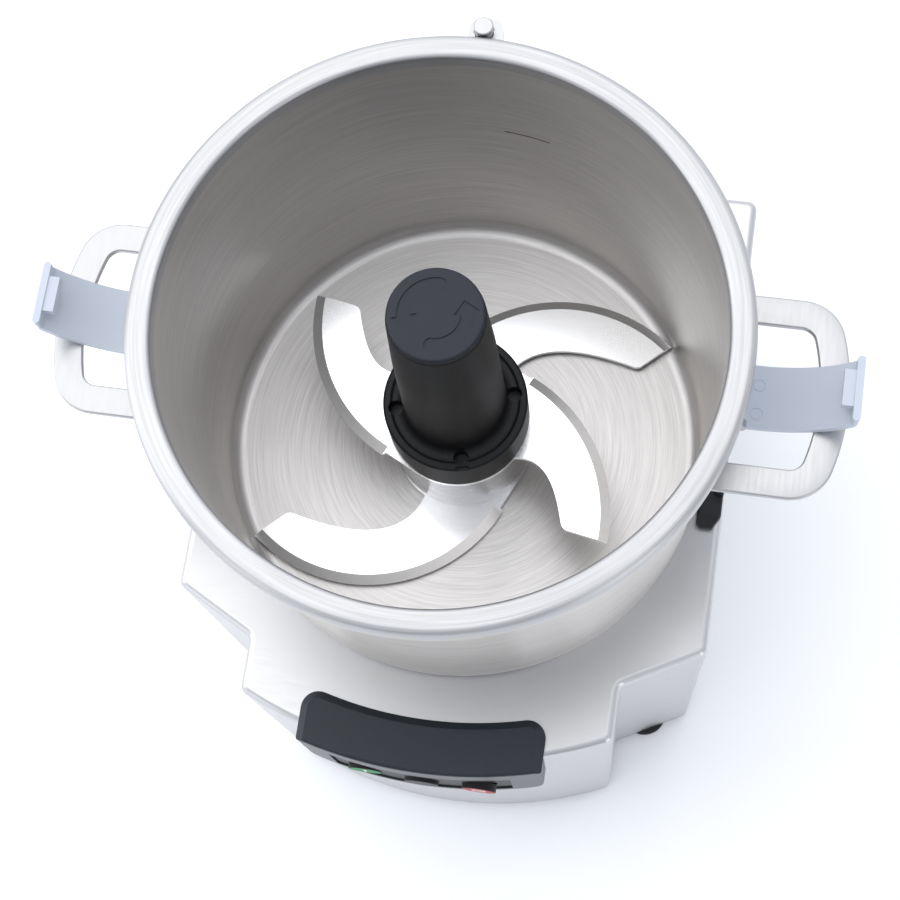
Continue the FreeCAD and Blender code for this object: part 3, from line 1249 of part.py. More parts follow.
def knife_grip():
    """Moulded column and flange, hollow over the bowl's tube, with the drive bush's seat."""
    groove = FLANGE_TOP - GROOVE_DEPTH
    cavity = TUBE_HIGH_RADIUS + GRIP_CAVITY_GAP
    section = [
        (cavity, FLANGE_BOTTOM, 0),
        (FLANGE_RADIUS, FLANGE_BOTTOM, 0),
        (FLANGE_RADIUS, FLANGE_TOP, FLANGE_EDGE_RADIUS),
        (GROOVE_RADIUS, FLANGE_TOP, 0),
        (GROOVE_RADIUS - GROOVE_DEPTH, groove, GROOVE_EDGE_RADIUS),
        (COLUMN_FOOT_RADIUS, groove, COLUMN_FOOT_FILLET),
        (COLUMN_WAIST_RADIUS, COLUMN_WAIST_Z, COLUMN_SWEEP_RADIUS),
        (COLUMN_TOP_RADIUS, COLUMN_TOP, COLUMN_EDGE_RADIUS),
        (CAP_SPIGOT_RADIUS, COLUMN_TOP, 0),
        (CAP_SPIGOT_RADIUS, BUSH_TOP, 0),
        (BUSH_RADIUS, BUSH_TOP, 0),
        (BUSH_RADIUS, BUSH_BOTTOM, 0),
        (cavity, BUSH_BOTTOM, 0),
    ]
    body = turned(section)
    body = screw_drilled(body, FLANGE_BOTTOM, FLANGE_TOP)
    seat = FLANGE_TOP - CLAMP_SEAT_DEPTH
    body = screw_drilled(body, seat, FLANGE_TOP + COLUMN_FOOT_FILLET, CLAMP_HEAD_RADIUS)
    half = FLANGE_NOTCH_WIDTH / 2
    depth = FLANGE_NOTCH_DEPTH
    notch = block((FLANGE_RADIUS - depth, FLANGE_RADIUS + depth), (-half, half),
                  (FLANGE_TOP - depth, FLANGE_TOP + depth))
    return body.cut(spun(notch, CLAMP_SCREW_ANGLE - 90))


def grip_cap():
    """Cap pressed into the grip's top."""
    spigot_end = COLUMN_TOP - CAP_SPIGOT_LENGTH
    section = [
        (0, spigot_end, 0),
        (CAP_SPIGOT_RADIUS, spigot_end, 0),
        (CAP_SPIGOT_RADIUS, COLUMN_TOP, 0),
        (CAP_RADIUS, COLUMN_TOP, 0),
        (CAP_RADIUS, CAP_TOP, CAP_EDGE_RADIUS),
        (0, CAP_TOP, 0),
    ]
    return turned(section)


def drive_bush():
    """Steel bush moulded into the grip, which slides over the shaft's two flats."""
    bush = cylinder(BUSH_RADIUS, BUSH_BOTTOM, BUSH_TOP)
    return bush.cut(two_flats(BUSH_BOTTOM, BUSH_TOP, RUNNING_FIT))


def build():
    """Every piece by its name."""
    pieces = {
        "base_housing": base_housing(),
        "bottom_plate": bottom_plate(),
        "plate_screws": plate_screws(),
        "rubber_feet": rubber_feet(),
        "control_panel": control_panel(),
        "keypad_plate": keypad_plate(),
        "contact_blocks": contact_blocks(),
        "control_board": control_board(),
        "board_standoffs": board_standoffs(),
        "bowl_stop_blocks": bowl_stop_blocks(),
        "upper_end_shield": upper_end_shield(),
        "lower_end_shield": lower_end_shield(),
        "upper_bearing": ball_bearing(UPPER_SHIELD_BOTTOM),
        "lower_bearing": ball_bearing(LOWER_SHIELD_TOP - BEARING_HEIGHT),
        "shaft_seal": shaft_seal(),
        "stator_core": stator_core(),
        "stator_windings": stator_windings(),
        "motor_tie_bolts": tie_bolts(),
        "run_capacitor": run_capacitor(),
        "capacitor_clamp": capacitor_clamp(),
        "lid_switch": lid_switch(),
        "switch_bracket": switch_bracket(),
        "switch_plunger": switch_plunger(),
        "cable_gland": cable_gland(),
        "gland_nut": gland_nut(),
        "drive_shaft": drive_shaft(),
        "rotor": rotor(),
        "cooling_fan": cooling_fan(),
        "bowl": bowl(),
        "bowl_lugs": bowl_lugs(),
        "upper_rod_guide": upper_rod_guide(),
        "lower_rod_guide": guide_plate(LOWER_GUIDE_Z, bowl_outside()),
        "interlock_rod": interlock_rod(),
        "rod_spring": rod_spring(),
        "lower_knives": knife_pair(LOWER_ARM, KNIFE_BOTTOM),
        "upper_knives": knife_pair(UPPER_ARM, UPPER_KNIFE_BOTTOM),
        "knife_spacer": knife_spacer(),
        "clamp_screws": clamp_screws(),
        "knife_grip": knife_grip(),
        "grip_cap": grip_cap(),
        "drive_bush": drive_bush(),
    }
    for name, x, face_y in button_places():
        pieces[name] = push_button(x, face_y, BUTTON_PROUD[name])
    sided = {"handle": handle(), "clip": lid_clip(), "clip_bracket": clip_bracket(), "clip_pin": clip_pin()}
    for name, shape in sided.items():
        pieces["right_" + name] = shape
        pieces["left_" + name] = mirrored(shape)
    return pieces


os.makedirs("parts", exist_ok=True)
for node, solid in build().items():
    solid.exportStep("parts/" + node + ".step")
    state = "valid" if solid.isValid() else "NOT VALID"
    print(node, len(solid.Solids), state, round(solid.Volume), "mm3")
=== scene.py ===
# %% [markdown]
# # A food cutter mixer, seen from above its open bowl
# The object is a countertop cutter. A stepped steel base holds the motor, and a steel bowl with
# two loop handles drops over the motor's nose. Inside turns a black grip with two pairs of swept
# knives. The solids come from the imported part. This lesson gives each of them the finish of the
# real material, models the marks and thin shapes that are too fine for a solid, and sets up floor,
# lamps and camera.

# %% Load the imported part
import math

import bpy
from mathutils import Matrix, Vector


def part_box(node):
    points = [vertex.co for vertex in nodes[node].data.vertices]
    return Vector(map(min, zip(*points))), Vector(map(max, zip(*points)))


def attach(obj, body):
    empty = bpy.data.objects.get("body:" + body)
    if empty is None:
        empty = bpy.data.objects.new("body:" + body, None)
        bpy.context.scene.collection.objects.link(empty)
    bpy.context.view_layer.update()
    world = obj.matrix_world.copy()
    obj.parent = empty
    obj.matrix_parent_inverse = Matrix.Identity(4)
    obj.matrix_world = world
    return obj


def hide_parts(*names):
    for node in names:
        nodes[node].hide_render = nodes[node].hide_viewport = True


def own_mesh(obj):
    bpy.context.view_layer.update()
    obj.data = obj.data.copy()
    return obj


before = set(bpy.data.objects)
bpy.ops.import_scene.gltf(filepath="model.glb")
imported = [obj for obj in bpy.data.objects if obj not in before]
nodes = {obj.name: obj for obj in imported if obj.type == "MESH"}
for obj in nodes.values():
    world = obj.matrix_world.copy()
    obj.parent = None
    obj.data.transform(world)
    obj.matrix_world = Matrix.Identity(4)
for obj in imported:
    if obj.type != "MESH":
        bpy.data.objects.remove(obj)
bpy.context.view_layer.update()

MM = 0.001

# %% [markdown]
# ## Starting a finish
# Every finish here is the Principled shader with plain values on its own sockets: a colour, how
# metallic it is and how rough. Texture nodes then change only what varies over a surface. Three
# small helpers keep that the same for all of them: one starts a material, one moves a value into
# another range, and one mixes two colours.

# %% Helpers for materials
METAL = 1.0
NOT_METAL = 0.0


def plain_finish(name, colour, metallic, roughness):
    """New material, and its shader with plain values."""
    material = bpy.data.materials.new(name)
    material.use_nodes = True
    shader = material.node_tree.nodes["Principled BSDF"]
    shader.inputs["Base Color"].default_value = (*colour, 1)
    shader.inputs["Metallic"].default_value = metallic
    shader.inputs["Roughness"].default_value = roughness
    return material, shader


def ramp(tree, value, start, end, low=0.0, high=1.0):
    """Low to high as the value goes from start to end, and level beyond both."""
    span = tree.nodes.new("ShaderNodeMapRange")
    span.inputs["From Min"].default_value = start
    span.inputs["From Max"].default_value = end
    span.inputs["To Min"].default_value = low
    span.inputs["To Max"].default_value = high
    tree.links.new(value, span.inputs["Value"])
    return span.outputs["Result"]


def mixed(tree, factor, first, second, blend="MIX"):
    """First colour at a factor of 0 and second at 1, each a socket or three numbers."""
    mix = tree.nodes.new("ShaderNodeMix")
    mix.data_type = "RGBA"
    mix.blend_type = blend
    tree.links.new(factor, mix.inputs["Factor"])
    for name, colour in (("A", first), ("B", second)):
        if isinstance(colour, bpy.types.NodeSocket):
            tree.links.new(colour, mix.inputs[name])
        else:
            mix.inputs[name].default_value = (*colour, 1)
    return mix.outputs["Result"]


print("helpers for materials ready")

# %% [markdown]
# ## Brushed sheet
# The base is folded from satin stainless sheet. Its grain is thousands of fine scratches that all
# run one way. A noise texture that is stretched a great deal along one axis looks the same: a
# Mapping node on the Object coordinates does the stretching, so the grain stays fixed to the
# metal. The noise moves the roughness within narrow limits, and gives a very shallow bump.

# %% Straight grain
SHEET_DETAIL = 3.0
NOISE_LOW = 0.3
NOISE_HIGH = 0.7
SCRATCH_DEPTH = 0.02 * MM


def stretched_noise(tree, scale):
    """Noise in Object coordinates, with its own scale for each axis."""
    place = tree.nodes.new("ShaderNodeTexCoord")
    mapping = tree.nodes.new("ShaderNodeMapping")
    noise = tree.nodes.new("ShaderNodeTexNoise")
    mapping.inputs["Scale"].default_value = scale
    noise.inputs["Scale"].default_value = 1.0
    noise.inputs["Detail"].default_value = SHEET_DETAIL
    tree.links.new(place.outputs["Object"], mapping.inputs["Vector"])
    tree.links.new(mapping.outputs["Vector"], noise.inputs["Vector"])
    return noise.outputs["Fac"]


def spread(tree, noise, low, high):
    """Noise, which seldom leaves its middle range, moved into the range from low to high."""
    return ramp(tree, noise, NOISE_LOW, NOISE_HIGH, low, high)


def vary_roughness(tree, shader, noise, roughness, vary):
    """Roughness that goes up and down with the noise."""
    varied = spread(tree, noise, roughness - vary, roughness + vary)
    tree.links.new(varied, shader.inputs["Roughness"])


def shallow_bump(tree, shader, noise, strength, depth):
    """Bump of a given depth, in metres, on the shader's normal."""
    bump = tree.nodes.new("ShaderNodeBump")
    bump.inputs["Strength"].default_value = strength
    bump.inputs["Distance"].default_value = depth
    tree.links.new(noise, bump.inputs["Height"])
    tree.links.new(bump.outputs["Normal"], shader.inputs["Normal"])


def brushed_sheet(name, colour, roughness, scale, vary=0.06, strength=0.06):
    """Satin metal with a straight grain."""
    material, shader = plain_finish(name, colour, METAL, roughness)
    tree = material.node_tree
    grain = stretched_noise(tree, scale)
    vary_roughness(tree, shader, grain, roughness, vary)
    shallow_bump(tree, shader, grain, strength, SCRATCH_DEPTH)
    return material


housing_steel = brushed_sheet("housing_steel", (0.53, 0.53, 0.535), 0.32,
                              scale=(60, 1200, 1200), vary=0.04, strength=0.015)
trim_steel = brushed_sheet("trim_steel", (0.445, 0.445, 0.45), 0.34,
                           scale=(900, 60, 900), vary=0.05, strength=0.03)
print("satin sheet:", housing_steel.name, "and", trim_steel.name)

# %% [markdown]
# ## Steel that was brushed while it turned
# The bowl was spun and polished on a lathe, so its grain runs round the axis: rings on the floor
# and hoops on the wall. Stretched noise can't bend round, so the vector is built by hand. The
# distance from the axis and the height change it fast, and the direction from the axis changes it
# slowly. Taking the direction as two numbers, instead of an angle, leaves no seam where a full
# turn ends.

# %% Grain round the axis
TURNED_DETAIL = 2.0
TURNED_VARY = 0.05
TURNED_BUMP = 0.2


def times(tree, value, factor):
    """The value multiplied by a factor."""
    product = tree.nodes.new("ShaderNodeMath")
    product.operation = "MULTIPLY"
    product.inputs[1].default_value = factor
    tree.links.new(value, product.inputs[0])
    return product.outputs["Value"]


def round_grain(tree, across, along):
    """Noise that is fine across the rings and long along them, and the height."""
    place = tree.nodes.new("ShaderNodeTexCoord")
    parts = tree.nodes.new("ShaderNodeSeparateXYZ")
    flat = tree.nodes.new("ShaderNodeCombineXYZ")
    distance = tree.nodes.new("ShaderNodeVectorMath")
    distance.operation = "LENGTH"
    direction = tree.nodes.new("ShaderNodeVectorMath")
    direction.operation = "NORMALIZE"
    ways = tree.nodes.new("ShaderNodeSeparateXYZ")
    vector = tree.nodes.new("ShaderNodeCombineXYZ")
    noise = tree.nodes.new("ShaderNodeTexNoise")
    noise.noise_dimensions = "4D"
    noise.inputs["Scale"].default_value = 1.0
    noise.inputs["Detail"].default_value = TURNED_DETAIL
    link = tree.links.new
    link(place.outputs["Object"], parts.inputs["Vector"])
    link(parts.outputs["X"], flat.inputs["X"])
    link(parts.outputs["Y"], flat.inputs["Y"])
    link(flat.outputs["Vector"], distance.inputs[0])
    link(flat.outputs["Vector"], direction.inputs[0])
    link(direction.outputs["Vector"], ways.inputs["Vector"])
    link(times(tree, distance.outputs["Value"], across), vector.inputs["X"])
    link(times(tree, parts.outputs["Z"], across), vector.inputs["Y"])
    link(times(tree, ways.outputs["X"], along), vector.inputs["Z"])
    link(times(tree, ways.outputs["Y"], along), noise.inputs["W"])
    link(vector.outputs["Vector"], noise.inputs["Vector"])
    return noise.outputs["Fac"], parts.outputs["Z"]


def scratched_round(name, colour, roughness, across, along):
    """Metal with scratches round the axis: material, shader, grain and height."""
    material, shader = plain_finish(name, colour, METAL, roughness)
    tree = material.node_tree
    grain, height = round_grain(tree, across, along)
    shallow_bump(tree, shader, grain, TURNED_BUMP, SCRATCH_DEPTH)
    return material, shader, grain, height


def turned_steel(name, colour, roughness, across=1300, along=5):
    """Satin metal with its grain round the axis."""
    material, shader, grain, _ = scratched_round(name, colour, roughness, across, along)
    vary_roughness(material.node_tree, shader, grain, roughness, TURNED_VARY)
    return material


shaft_steel = turned_steel("shaft_steel", (0.72, 0.72, 0.73), 0.25)
print("turned steel ready:", shaft_steel.name)

# %% [markdown]
# ## The bowl
# Fine scratches scatter light across themselves far more than along themselves. The shader calls
# this anisotropy: the highlight is stretched at a right angle to the grain, which gives the floor
# its soft fans of light. The grain's direction at each point is the cross product of the axis and
# the place. Three greys follow each other from below. The floor's is the lightest, and that is
# painted light: the wall's grey made lighter where the floor faces the lamps. The wall's is a
# little warm. The rim's is cooler and darker, and that is painted shade, which tones down the
# lamps that the rim mirrors. Streaks along the grain run through all three.

# %% Greys of the bowl
BOWL_GREY = (0.575, 0.555, 0.53)
# Painted shade: the rim's grey is darker than the wall's to tone down the lamps it mirrors.
RIM_SHADED_GREY = (0.475, 0.475, 0.48)
# Painted light: the floor's colour is the wall's times this, lighter where it faces the lamps.
FLOOR_PAINTED_LIGHT = (1.28, 1.29, 1.33)
BOWL_STREAKS = (0.88, 1.09)
RIM_STREAKS = (0.88, 1.10)
WALL_ROUGHNESS = 0.42
FLOOR_ROUGHNESS = 0.47
FLOOR_TOP = 206 * MM
FLOOR_BLEND = 4 * MM
RIM_START = 363 * MM
RIM_BLEND = 2 * MM
BOWL_ACROSS = 1500
BOWL_ALONG = 3.5
ANISOTROPY = 0.6
GRAIN_TURN = 0.25


def streaked(tree, grain, grey, streaks):
    """A grey that is darker and lighter along the grain."""
    dark, light = ([v * factor for v in grey] for factor in streaks)
    return mixed(tree, spread(tree, grain, 0, 1), dark, light)


print("floor up to", round(FLOOR_TOP / MM), "mm, rim from", round(RIM_START / MM), "mm")

# %% Finish of the bowl
bowl_steel, bowl_shader, bowl_grain, bowl_height = scratched_round(
    "bowl_steel", BOWL_GREY, WALL_ROUGHNESS, BOWL_ACROSS, BOWL_ALONG)
bowl_tree = bowl_steel.node_tree
bowl_place = bowl_tree.nodes.new("ShaderNodeTexCoord")
grain_way = bowl_tree.nodes.new("ShaderNodeVectorMath")
grain_way.operation = "CROSS_PRODUCT"
grain_way.inputs[1].default_value = (0, 0, 1)
bowl_tree.links.new(bowl_place.outputs["Object"], grain_way.inputs[0])
bowl_tree.links.new(grain_way.outputs["Vector"], bowl_shader.inputs["Tangent"])
bowl_shader.inputs["Anisotropic"].default_value = ANISOTROPY
bowl_shader.inputs["Anisotropic Rotation"].default_value = GRAIN_TURN
bowl_roughness = ramp(bowl_tree, bowl_height, FLOOR_TOP, FLOOR_TOP + FLOOR_BLEND,
                      FLOOR_ROUGHNESS, WALL_ROUGHNESS)
bowl_tree.links.new(bowl_roughness, bowl_shader.inputs["Roughness"])
on_floor = ramp(bowl_tree, bowl_height, FLOOR_TOP + FLOOR_BLEND, FLOOR_TOP)
on_rim = ramp(bowl_tree, bowl_height, RIM_START, RIM_START + RIM_BLEND)
wall_colour = streaked(bowl_tree, bowl_grain, BOWL_GREY, BOWL_STREAKS)
rim_colour = streaked(bowl_tree, bowl_grain, RIM_SHADED_GREY, RIM_STREAKS)
# Painted light on the floor and painted shade on the rim, mixed in by height.
inside_colour = mixed(bowl_tree, on_floor, wall_colour, FLOOR_PAINTED_LIGHT, "MULTIPLY")
bowl_colour = mixed(bowl_tree, on_rim, inside_colour, rim_colour)
bowl_tree.links.new(bowl_colour, bowl_shader.inputs["Base Color"])
print("bowl finish ready, with", len(bowl_tree.nodes), "nodes")

# %% [markdown]
# ## Ground knives
# The knives are polished flat and then ground along the leading edge. The polished face mirrors
# whatever hangs above it, so it looks white under a lamp, while the ground slope looks in another
# direction and stays grey. One smooth, bright metal is enough, because the shape of the solid does
# the rest.

# %% Polished knife steel
knife_steel = brushed_sheet("knife_steel", (0.86, 0.86, 0.87), 0.24,
                            scale=(300, 1200, 300), vary=0.02, strength=0.01)
spacer_steel = turned_steel("spacer_steel", (0.42, 0.42, 0.43), 0.30)
print("knife and spacer steel ready:", knife_steel.name, spacer_steel.name)

# %% [markdown]
# ## Plastics and rubber
# Moulded plastic has a fine, even grain, as if lightly sanded. Noise at less than half a
# millimetre in a shallow bump breaks up the highlights in the same way. Darker and lighter
# versions of one recipe serve for the grip, its cap, the stop blocks, the clips, the rubber feet
# and the small parts inside.

# %% Moulded plastic
PLASTIC_SPECULAR = 0.3
PLASTIC_VARY = 0.04
PLASTIC_BUMP = 0.3
PLASTIC_DEPTH = 0.03 * MM
PLASTIC_GRAIN = 0.45 * MM


def moulded(name, colour, roughness, grain_depth=PLASTIC_DEPTH, grain_size=PLASTIC_GRAIN):
    """Fine-grained plastic, rubber or painted casting."""
    material, shader = plain_finish(name, colour, NOT_METAL, roughness)
    shader.inputs["Specular IOR Level"].default_value = PLASTIC_SPECULAR
    tree = material.node_tree
    frequency = 1 / grain_size
    grain = stretched_noise(tree, (frequency, frequency, frequency))
    vary_roughness(tree, shader, grain, roughness, PLASTIC_VARY)
    shallow_bump(tree, shader, grain, PLASTIC_BUMP, grain_depth)
    return material


grip_plastic = moulded("grip_plastic", (0.009, 0.0098, 0.0118), 0.55)
cap_plastic = moulded("cap_plastic", (0.016, 0.018, 0.027), 0.52)
block_plastic = moulded("block_plastic", (0.013, 0.014, 0.018), 0.48)
clip_plastic = moulded("clip_plastic", (0.50, 0.54, 0.61), 0.45, grain_depth=0.02 * MM)
foot_rubber = moulded("foot_rubber", (0.020, 0.020, 0.022), 0.75, grain_depth=0.05 * MM)
print("plastics ready, with a grain of", round(PLASTIC_GRAIN / MM, 2), "mm")

# %% [markdown]
# ## The control panel
# The panel's top is matt, and its front is a little shinier. Both are one solid, so the finish has
# to tell them apart. The Normal of a face does that: on the top it points up, and towards the
# front the roughness drops. The buttons use the same trick with the direction to the front: only
# the faces that look forward are coloured, and the tops and sides are black.

# %% Finishes that depend on where a face looks
LOOKS_UP = (0.5, 0.9)
LOOKS_FORWARD = (-0.93, -0.98)
PANEL_FRONT_ROUGHNESS = 0.36
PANEL_TOP_ROUGHNESS = 0.44
PANEL_SPECULAR = 0.38
BUTTON_SIDE = (0.015, 0.015, 0.017)
BUTTON_ROUGHNESS = 0.5
BUTTON_SPECULAR = 0.2


def facing(tree, axis, limits, low=0.0, high=1.0):
    """Low to high as the face's normal goes between two limits along one axis."""
    look = tree.nodes.new("ShaderNodeNewGeometry")
    parts = tree.nodes.new("ShaderNodeSeparateXYZ")
    tree.links.new(look.outputs["Normal"], parts.inputs["Vector"])
    return ramp(tree, parts.outputs[axis], *limits, low, high)


def coloured_face(name, face_colour):
    """Black plastic with a colour on the side that looks forward."""
    material, shader = plain_finish(name, BUTTON_SIDE, NOT_METAL, BUTTON_ROUGHNESS)
    shader.inputs["Specular IOR Level"].default_value = BUTTON_SPECULAR
    tree = material.node_tree
    colour = mixed(tree, facing(tree, "Y", LOOKS_FORWARD), BUTTON_SIDE, face_colour)
    tree.links.new(colour, shader.inputs["Base Color"])
    return material


panel_plastic, panel_shader = plain_finish("panel_plastic", (0.010, 0.014, 0.020), NOT_METAL,
                                           PANEL_TOP_ROUGHNESS)
panel_shader.inputs["Specular IOR Level"].default_value = PANEL_SPECULAR
panel_tree = panel_plastic.node_tree
panel_roughness = facing(panel_tree, "Z", LOOKS_UP, PANEL_FRONT_ROUGHNESS, PANEL_TOP_ROUGHNESS)
panel_tree.links.new(panel_roughness, panel_shader.inputs["Roughness"])
start_green = coloured_face("start_green", (0.02, 0.22, 0.07))
pulse_black = coloured_face("pulse_black", (0.045, 0.045, 0.05))
stop_red = coloured_face("stop_red", (0.40, 0.022, 0.02))
print("panel and buttons ready:", panel_plastic.name, start_green.name, stop_red.name)

# %% [markdown]
# ## Finishes that are hidden or small
# Motor, switch and board are out of sight in the closed machine, but they still get a finish,
# because the part can be taken apart. The recipes from above are enough for them.

# %% Inner pieces and keypad
zinc_plate = brushed_sheet("zinc_plate", (0.55, 0.56, 0.58), 0.42, scale=(200, 200, 200))
fastener_steel = turned_steel("fastener_steel", (0.62, 0.63, 0.64), 0.32)
black_screw = moulded("black_screw", (0.03, 0.03, 0.032), 0.45)
cast_aluminium = moulded("cast_aluminium", (0.58, 0.59, 0.60), 0.5,
                         grain_depth=0.08 * MM, grain_size=0.8 * MM)
bearing_steel = turned_steel("bearing_steel", (0.70, 0.70, 0.72), 0.15)
lamination_steel = brushed_sheet("lamination_steel", (0.25, 0.25, 0.27), 0.5,
                                 scale=(40, 40, 4000))
copper_winding = turned_steel("copper_winding", (0.62, 0.28, 0.12), 0.38, across=900, along=3)
board_green = moulded("board_green", (0.03, 0.16, 0.08), 0.4)
can_plastic = moulded("can_plastic", (0.72, 0.72, 0.70), 0.45)
inner_plastic = moulded("inner_plastic", (0.06, 0.06, 0.07), 0.5)
pin_plastic = moulded("pin_plastic", (0.80, 0.80, 0.78), 0.35)
keypad_face = moulded("keypad_face", (0.016, 0.017, 0.020), 0.5, grain_depth=0.01 * MM)
print("inner finishes ready,", len(bpy.data.materials), "materials in all")

# %% [markdown]
# ## Giving each solid its finish
# A solid keeps its mesh and only its material slots are filled. The table lists the pieces by
# finish, and the check at the end makes sure that none was forgotten.

# %% Finish for every piece
finishes = [
    (housing_steel, ["base_housing"]),
    (zinc_plate, ["bottom_plate", "switch_bracket", "capacitor_clamp"]),
    (fastener_steel, ["plate_screws", "motor_tie_bolts", "board_standoffs"]),
    (black_screw, ["clamp_screws"]),
    (foot_rubber, ["rubber_feet", "shaft_seal"]),
    (panel_plastic, ["control_panel"]),
    (block_plastic, ["bowl_stop_blocks"]),
    (grip_plastic, ["knife_grip"]),
    (cap_plastic, ["grip_cap"]),
    (keypad_face, ["keypad_plate"]),
    (start_green, ["start_button"]),
    (pulse_black, ["pulse_button"]),
    (stop_red, ["stop_button"]),
    (inner_plastic, ["contact_blocks", "lid_switch", "cooling_fan", "cable_gland", "gland_nut"]),
    (board_green, ["control_board"]),
    (cast_aluminium, ["upper_end_shield", "lower_end_shield"]),
    (bearing_steel, ["upper_bearing", "lower_bearing"]),
    (lamination_steel, ["stator_core", "rotor"]),
    (copper_winding, ["stator_windings"]),
    (can_plastic, ["run_capacitor"]),
    (pin_plastic, ["switch_plunger"]),
    (shaft_steel, ["drive_shaft", "drive_bush"]),
    (bowl_steel, ["bowl"]),
    (trim_steel, ["bowl_lugs", "right_handle", "left_handle", "right_clip_bracket",
                  "left_clip_bracket", "right_clip_pin", "left_clip_pin", "upper_rod_guide",
                  "lower_rod_guide", "interlock_rod", "rod_spring"]),
    (clip_plastic, ["right_clip", "left_clip"]),
    (knife_steel, ["lower_knives", "upper_knives"]),
    (spacer_steel, ["knife_spacer"]),
]
for material, names in finishes:
    for name in names:
        nodes[name].data.materials.clear()
        nodes[name].data.materials.append(material)
finished = {name for _, names in finishes for name in names}
print("pieces without a finish:", sorted(set(nodes) - finished))

# %% [markdown]
# ## Tools for modelling
# Fine shapes are modelled here and not in the solids. Each starts as a primitive at its place.
# Blender's operators act on whatever is selected, so the first helpers select one object, or open
# its mesh with everything in it selected. Others leave an object at the origin with its place in
# its mesh, join points that lie on each other, turn the faces outwards, and shade a piece smooth
# between its sharp edges.

# %% Selecting, settling and shading
MERGE_DISTANCE = 0.001 * MM
SHARP_ANGLE = math.radians(40)


def pick(piece):
    """Selects one object alone."""
    bpy.ops.object.select_all(action="DESELECT")
    piece.select_set(True)
    bpy.context.view_layer.objects.active = piece


def settle(piece):
    """Moves the object's place, turn and scale into its mesh."""
    pick(piece)
    bpy.ops.object.transform_apply(location=True, rotation=True, scale=True)
    return piece


def open_mesh(piece):
    """Edit mode on one object, with its whole mesh selected."""
    pick(piece)
    bpy.ops.object.mode_set(mode="EDIT")
    bpy.ops.mesh.select_all(action="SELECT")


def join_doubles(piece, distance=MERGE_DISTANCE):
    """Makes one point of those that lie on each other."""
    open_mesh(piece)
    bpy.ops.mesh.remove_doubles(threshold=distance)
    bpy.ops.object.mode_set(mode="OBJECT")


def face_outwards(piece):
    """Turns the faces of a mesh outwards."""
    open_mesh(piece)
    bpy.ops.mesh.normals_make_consistent(inside=False)
    bpy.ops.object.mode_set(mode="OBJECT")


def smooth(piece, angle=SHARP_ANGLE):
    """Smooth shading, except at edges that are sharper than the angle."""
    pick(piece)
    if piece.data.has_custom_normals:
        bpy.ops.mesh.customdata_custom_splitnormals_clear()
    bpy.ops.object.shade_smooth_by_angle(angle=angle)


def own_copy(piece, name):
    """Copy of an object, with a mesh of its own."""
    copy = bpy.data.objects.new(name, piece.data.copy())
    bpy.context.collection.objects.link(copy)
    return copy


def open_edges(piece):
    """Number of edges that don't join exactly two faces: none on a closed piece."""
    uses = {}
    for face in piece.data.polygons:
        for edge in face.edge_keys:
            uses[edge] = uses.get(edge, 0) + 1
    return sum(1 for count in uses.values() if count != 2)


print("tools for modelling ready")

# %% [markdown]
# ## Sweeping round the axis
# Most of this object is round, so several of its fine shapes are sweeps round an upright axis. The
# Spin operator makes them from whatever is selected. With no window open it turns the other way,
# so a helper hands it the angle with the sign changed, and can then be told plainly how far to
# turn. With it, a small upright rectangle becomes a closed curved strip.

# %% Spin and strip
def spin(steps, sweep, center=(0, 0, 0)):
    """Sweeps what is selected round an upright axis, anticlockwise from above."""
    bpy.ops.mesh.spin(steps=steps, angle=-sweep, center=center, axis=(0, 0, 1))


def swept_strip(name, inner, outer, low, high, start, sweep, steps):
    """Closed strip round the axis, from a start angle over a sweep."""
    middle = ((inner + outer) / 2, 0, (low + high) / 2)
    bpy.ops.object.select_all(action="DESELECT")
    bpy.ops.mesh.primitive_plane_add(size=1, location=middle, rotation=(math.pi / 2, 0, 0))
    strip = bpy.context.active_object
    strip.name = name
    strip.scale = (outer - inner, high - low, 1)
    settle(strip)
    open_mesh(strip)
    spin(steps, sweep)
    bpy.ops.object.mode_set(mode="OBJECT")
    join_doubles(strip)
    face_outwards(strip)
    strip.rotation_euler = (0, 0, start)
    return settle(strip)


print("spin and strip ready")

# %% [markdown]
# ## Arrows on the cap
# The cap is turned to undo the knives, and two curved arrows are sunk into its top to say so. They
# could be lines laid on the surface, but then light would not catch their edges. So they are
# really cut: a copy of the cap loses the shape of a band, a round tail and a three-sided head. The
# second arrow is the first one turned by half a turn.

# %% Arrow shapes
CAP_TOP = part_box("grip_cap")[1].z
ARROW_INNER = 9.6 * MM
ARROW_OUTER = 15.0 * MM
ARROW_MIDDLE = (ARROW_INNER + ARROW_OUTER) / 2
ARROW_DEPTH = 0.5 * MM
BAND_START = math.radians(-90)
BAND_SWEEP = math.radians(102)
BAND_STEPS = 20
TAIL_SIDES = 32
HEAD_SIDES = 3
HEAD_RADIUS = 5.9 * MM
HEAD_SHORTENED = 0.6
HEAD_DISTANCE = 11.9 * MM
HEAD_ANGLE = math.radians(17.8)
HEAD_POINTS = math.radians(108)


def prism(sides, radius, distance, angle, turned=0.0):
    """Upright prism through the cap's top, at a distance and an angle from the axis."""
    place = (distance * math.cos(angle), distance * math.sin(angle), CAP_TOP)
    bpy.ops.mesh.primitive_cylinder_add(vertices=sides, radius=radius, depth=2 * ARROW_DEPTH,
                                        location=place, rotation=(0, 0, turned))
    return bpy.context.active_object


